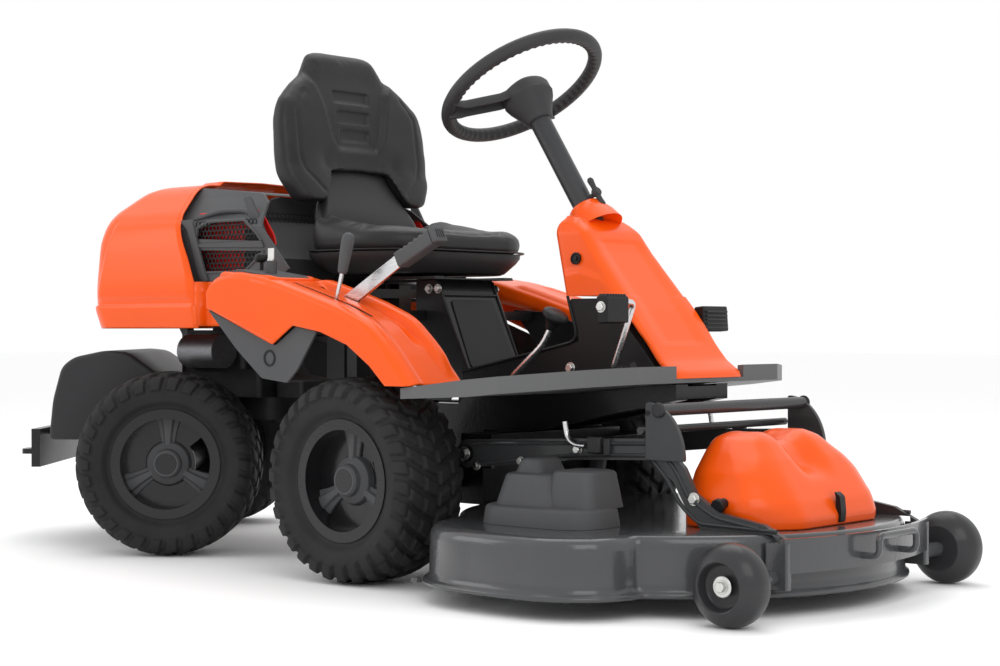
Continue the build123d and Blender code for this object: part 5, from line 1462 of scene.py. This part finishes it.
# %% Floor, tunnel and pedestal
dress(floor_grey, "footplate")
mat_x = np.linspace(172, 520, 175)
mat_z = np.interp(mat_x, [20, 320, 580], [370, 383, 407])
mat_parts = []
for side in (-1, 1):
    outer_y = np.interp(mat_x, [172, 400, 520], [418, 400, 322])
    share = np.linspace(0, 1, 24)[None, :]
    y = 116 + (outer_y[:, None] - 116) * share
    ends = step(mat_x, 172, 176) * (1 - step(mat_x, 516, 520))
    edge = np.minimum(step(share, 0, 0.03), 1 - step(share, 0.97, 1.0)) * ends[:, None]
    rib = 1.2 * (0.5 + 0.5 * np.sign(np.sin(mat_x * 2 * np.pi / 12)))[:, None]
    top = np.stack([np.broadcast_to(mat_x[:, None], y.shape), side * y, mat_z[:, None] + 0.4 + (2.2 + rib)
                    * edge], 2)
    mat_parts.append(sheet_of(top if side < 0 else top[:, ::-1]))
shape("floor_mats", mat_parts, black, "chassis", crease=30)
tunnel_line = rounded([(31, 372), (31, 411), (341, 476), (317, 561), (411, 561), (544, 408), (320, 384)], 7,
                      True, 4)
shape("tunnel_sides", [straight(tunnel_line, -107.6, 107.6, "y")], black, "chassis", ("tunnel_plate",),
      bevel=2.0)
lip_parts, tunnel_bolts, tunnel_hole_shade_discs = [], [], []
for side in (-1, 1):
    lip_line = rounded([(34, side * 108.4, 413), (340, side * 108.4, 478), (313, side * 108.4, 566)], 26,
                       False)
    lip_parts.append(carried(lip_line, 3.2, 10))
    tunnel_bolts += hexagon((320, side * 107.6, 424), (0, side, 0), 16, 8)
    tunnel_hole_shade_discs.append(turned([(0, 0), (8, 0), (8, 0.7), (0, 0.7)], (475, side * 107.6, 430), (0, side, 0),
                               24))
shape("tunnel_lips", lip_parts, black, "chassis")
shape("tunnel_bolts", tunnel_bolts, zinc, "chassis", bevel=0.5)
# Each tunnel hole is a thin dark disc on the plate: painted shade for the inside of the hole.
shape("tunnel_hole_shade_discs", tunnel_hole_shade_discs, grip_rubber, "chassis")
dress(frame_paint, "seat_pedestal")
# Black plates inside the fenders, beside the pedestal: a dark sheet that paints the shade under the fenders.
shade_plate_line = rounded([(-150, 545), (-80, 470), (0, 402), (150, 402), (130, 450), (60, 505), (-40, 538)], 8,
                     True, 4)
shape("arch_shade_plates", [straight(shade_plate_line, side * 263, side * 267, "y") for side in (-1, 1)], black,
      "chassis", bevel=1.0)
front_low, front_top = np.array([29.0, 412.0]), np.array([-59.0, 605.0])
slope = (front_top - front_low) / np.linalg.norm(front_top - front_low)
outward = np.array([slope[1], -slope[0]])


def on_front(u, v, w):
    """u across, v up the sloping front of the pedestal, w out from it: low + v slope + w outward."""
    u, v = np.broadcast_arrays(np.asarray(u, float), np.asarray(v, float))
    base = front_low + slope * v[:, None] + outward * w
    return np.stack([base[:, 0], u, base[:, 1]], 1)


panel = rounded([(-74, 8), (74, 8), (66, 164), (-66, 164)], 8, True, 4)
panel_levels = [on_front(panel[:, 0], panel[:, 1], lift) for lift in (0.2, 3.0)]
shape("pedestal_front", [rings(np.stack(panel_levels))], black, "chassis", bevel=1.2)
edge_parts = []
for side in (-1, 1):
    edge_parts.append(carried(on_front([side * 87] * 12, np.linspace(0, 208, 12), 1.2), 3.0, 8))
edge_parts.append(carried(on_front(np.linspace(-86, 86, 12), [176] * 12, 1.5), 3.0, 8))
shape("pedestal_edges", edge_parts, frame_paint, "chassis")
seat_bolts = []
for side in (-1, 1):
    for x in (-78, -52):
        seat_bolts += hexagon((x, side * 90.6, 586), (0, side, 0), 14, 7)
shape("pedestal_bolts", seat_bolts, zinc, "chassis", bevel=0.5)
print("floor, tunnel and pedestal ready")

# %% [markdown]
# The running gear below is mostly frame shapes that only need the right metal. The rear weight wears a
# moulded cover with rounded edges, and it rides on the rear unit, which stands turned. So the cover is
# drawn straight, and its points are turned about the swivel pin.

# %% Running gear
dress(frame_paint, "main_frame", "front_axle", "rear_axle", "rear_frame", "tow_plate")
dress(casting, "engine_block", "counterweight", "spindle_housings")
dress(black, "engine_fan")
dress(alloy, "muffler")
dress(steel,
      *[name for name in frame["nodes"]
        if name.startswith(("blade_", "spindle_")) and name != "spindle_housings"])
pin = joint_at("rear_steer")
steer = math.radians(40.0)


def on_rear(points):
    """Rear unit millimetres, straight ahead, turned about the swivel pin as the frame stands."""
    points = np.asarray(points, float)
    x = points[..., 0] * math.cos(steer) - points[..., 1] * math.sin(steer) + pin[0]
    y = points[..., 0] * math.sin(steer) + points[..., 1] * math.cos(steer) + pin[1]
    return np.stack([x, y, points[..., 2]], -1)


weight_line = rounded([(-349, 246), (-340, 338), (-320, 414), (-292, 436), (-217, 452), (-166, 447),
                       (-93, 395), (-93, 246)], 16, True, 6)
weight_middle = np.array([-220.0, 330.0])
weight_rows = []
for y, scale in ((-250, 0.90), (-249.6, 0.94), (-246, 0.98), (-238, 1.0), (-120, 1.0), (0, 1.0), (120, 1.0),
                 (238, 1.0), (246, 0.98), (249.6, 0.94), (250, 0.90)):
    line = weight_middle + (weight_line - weight_middle) * scale
    weight_rows.append(np.column_stack([line[:, 0], np.full(len(line), float(y)), line[:, 1]]))
shape("weight_cover", [rings(on_rear(np.stack(weight_rows)))], charcoal, "rear_unit",
      ("counterweight_cover",), crease=45)
print("running gear ready, finishes on", len(frame["nodes"]), "frame nodes")

# %% Pieces made
print(len(pieces_made), "pieces made")
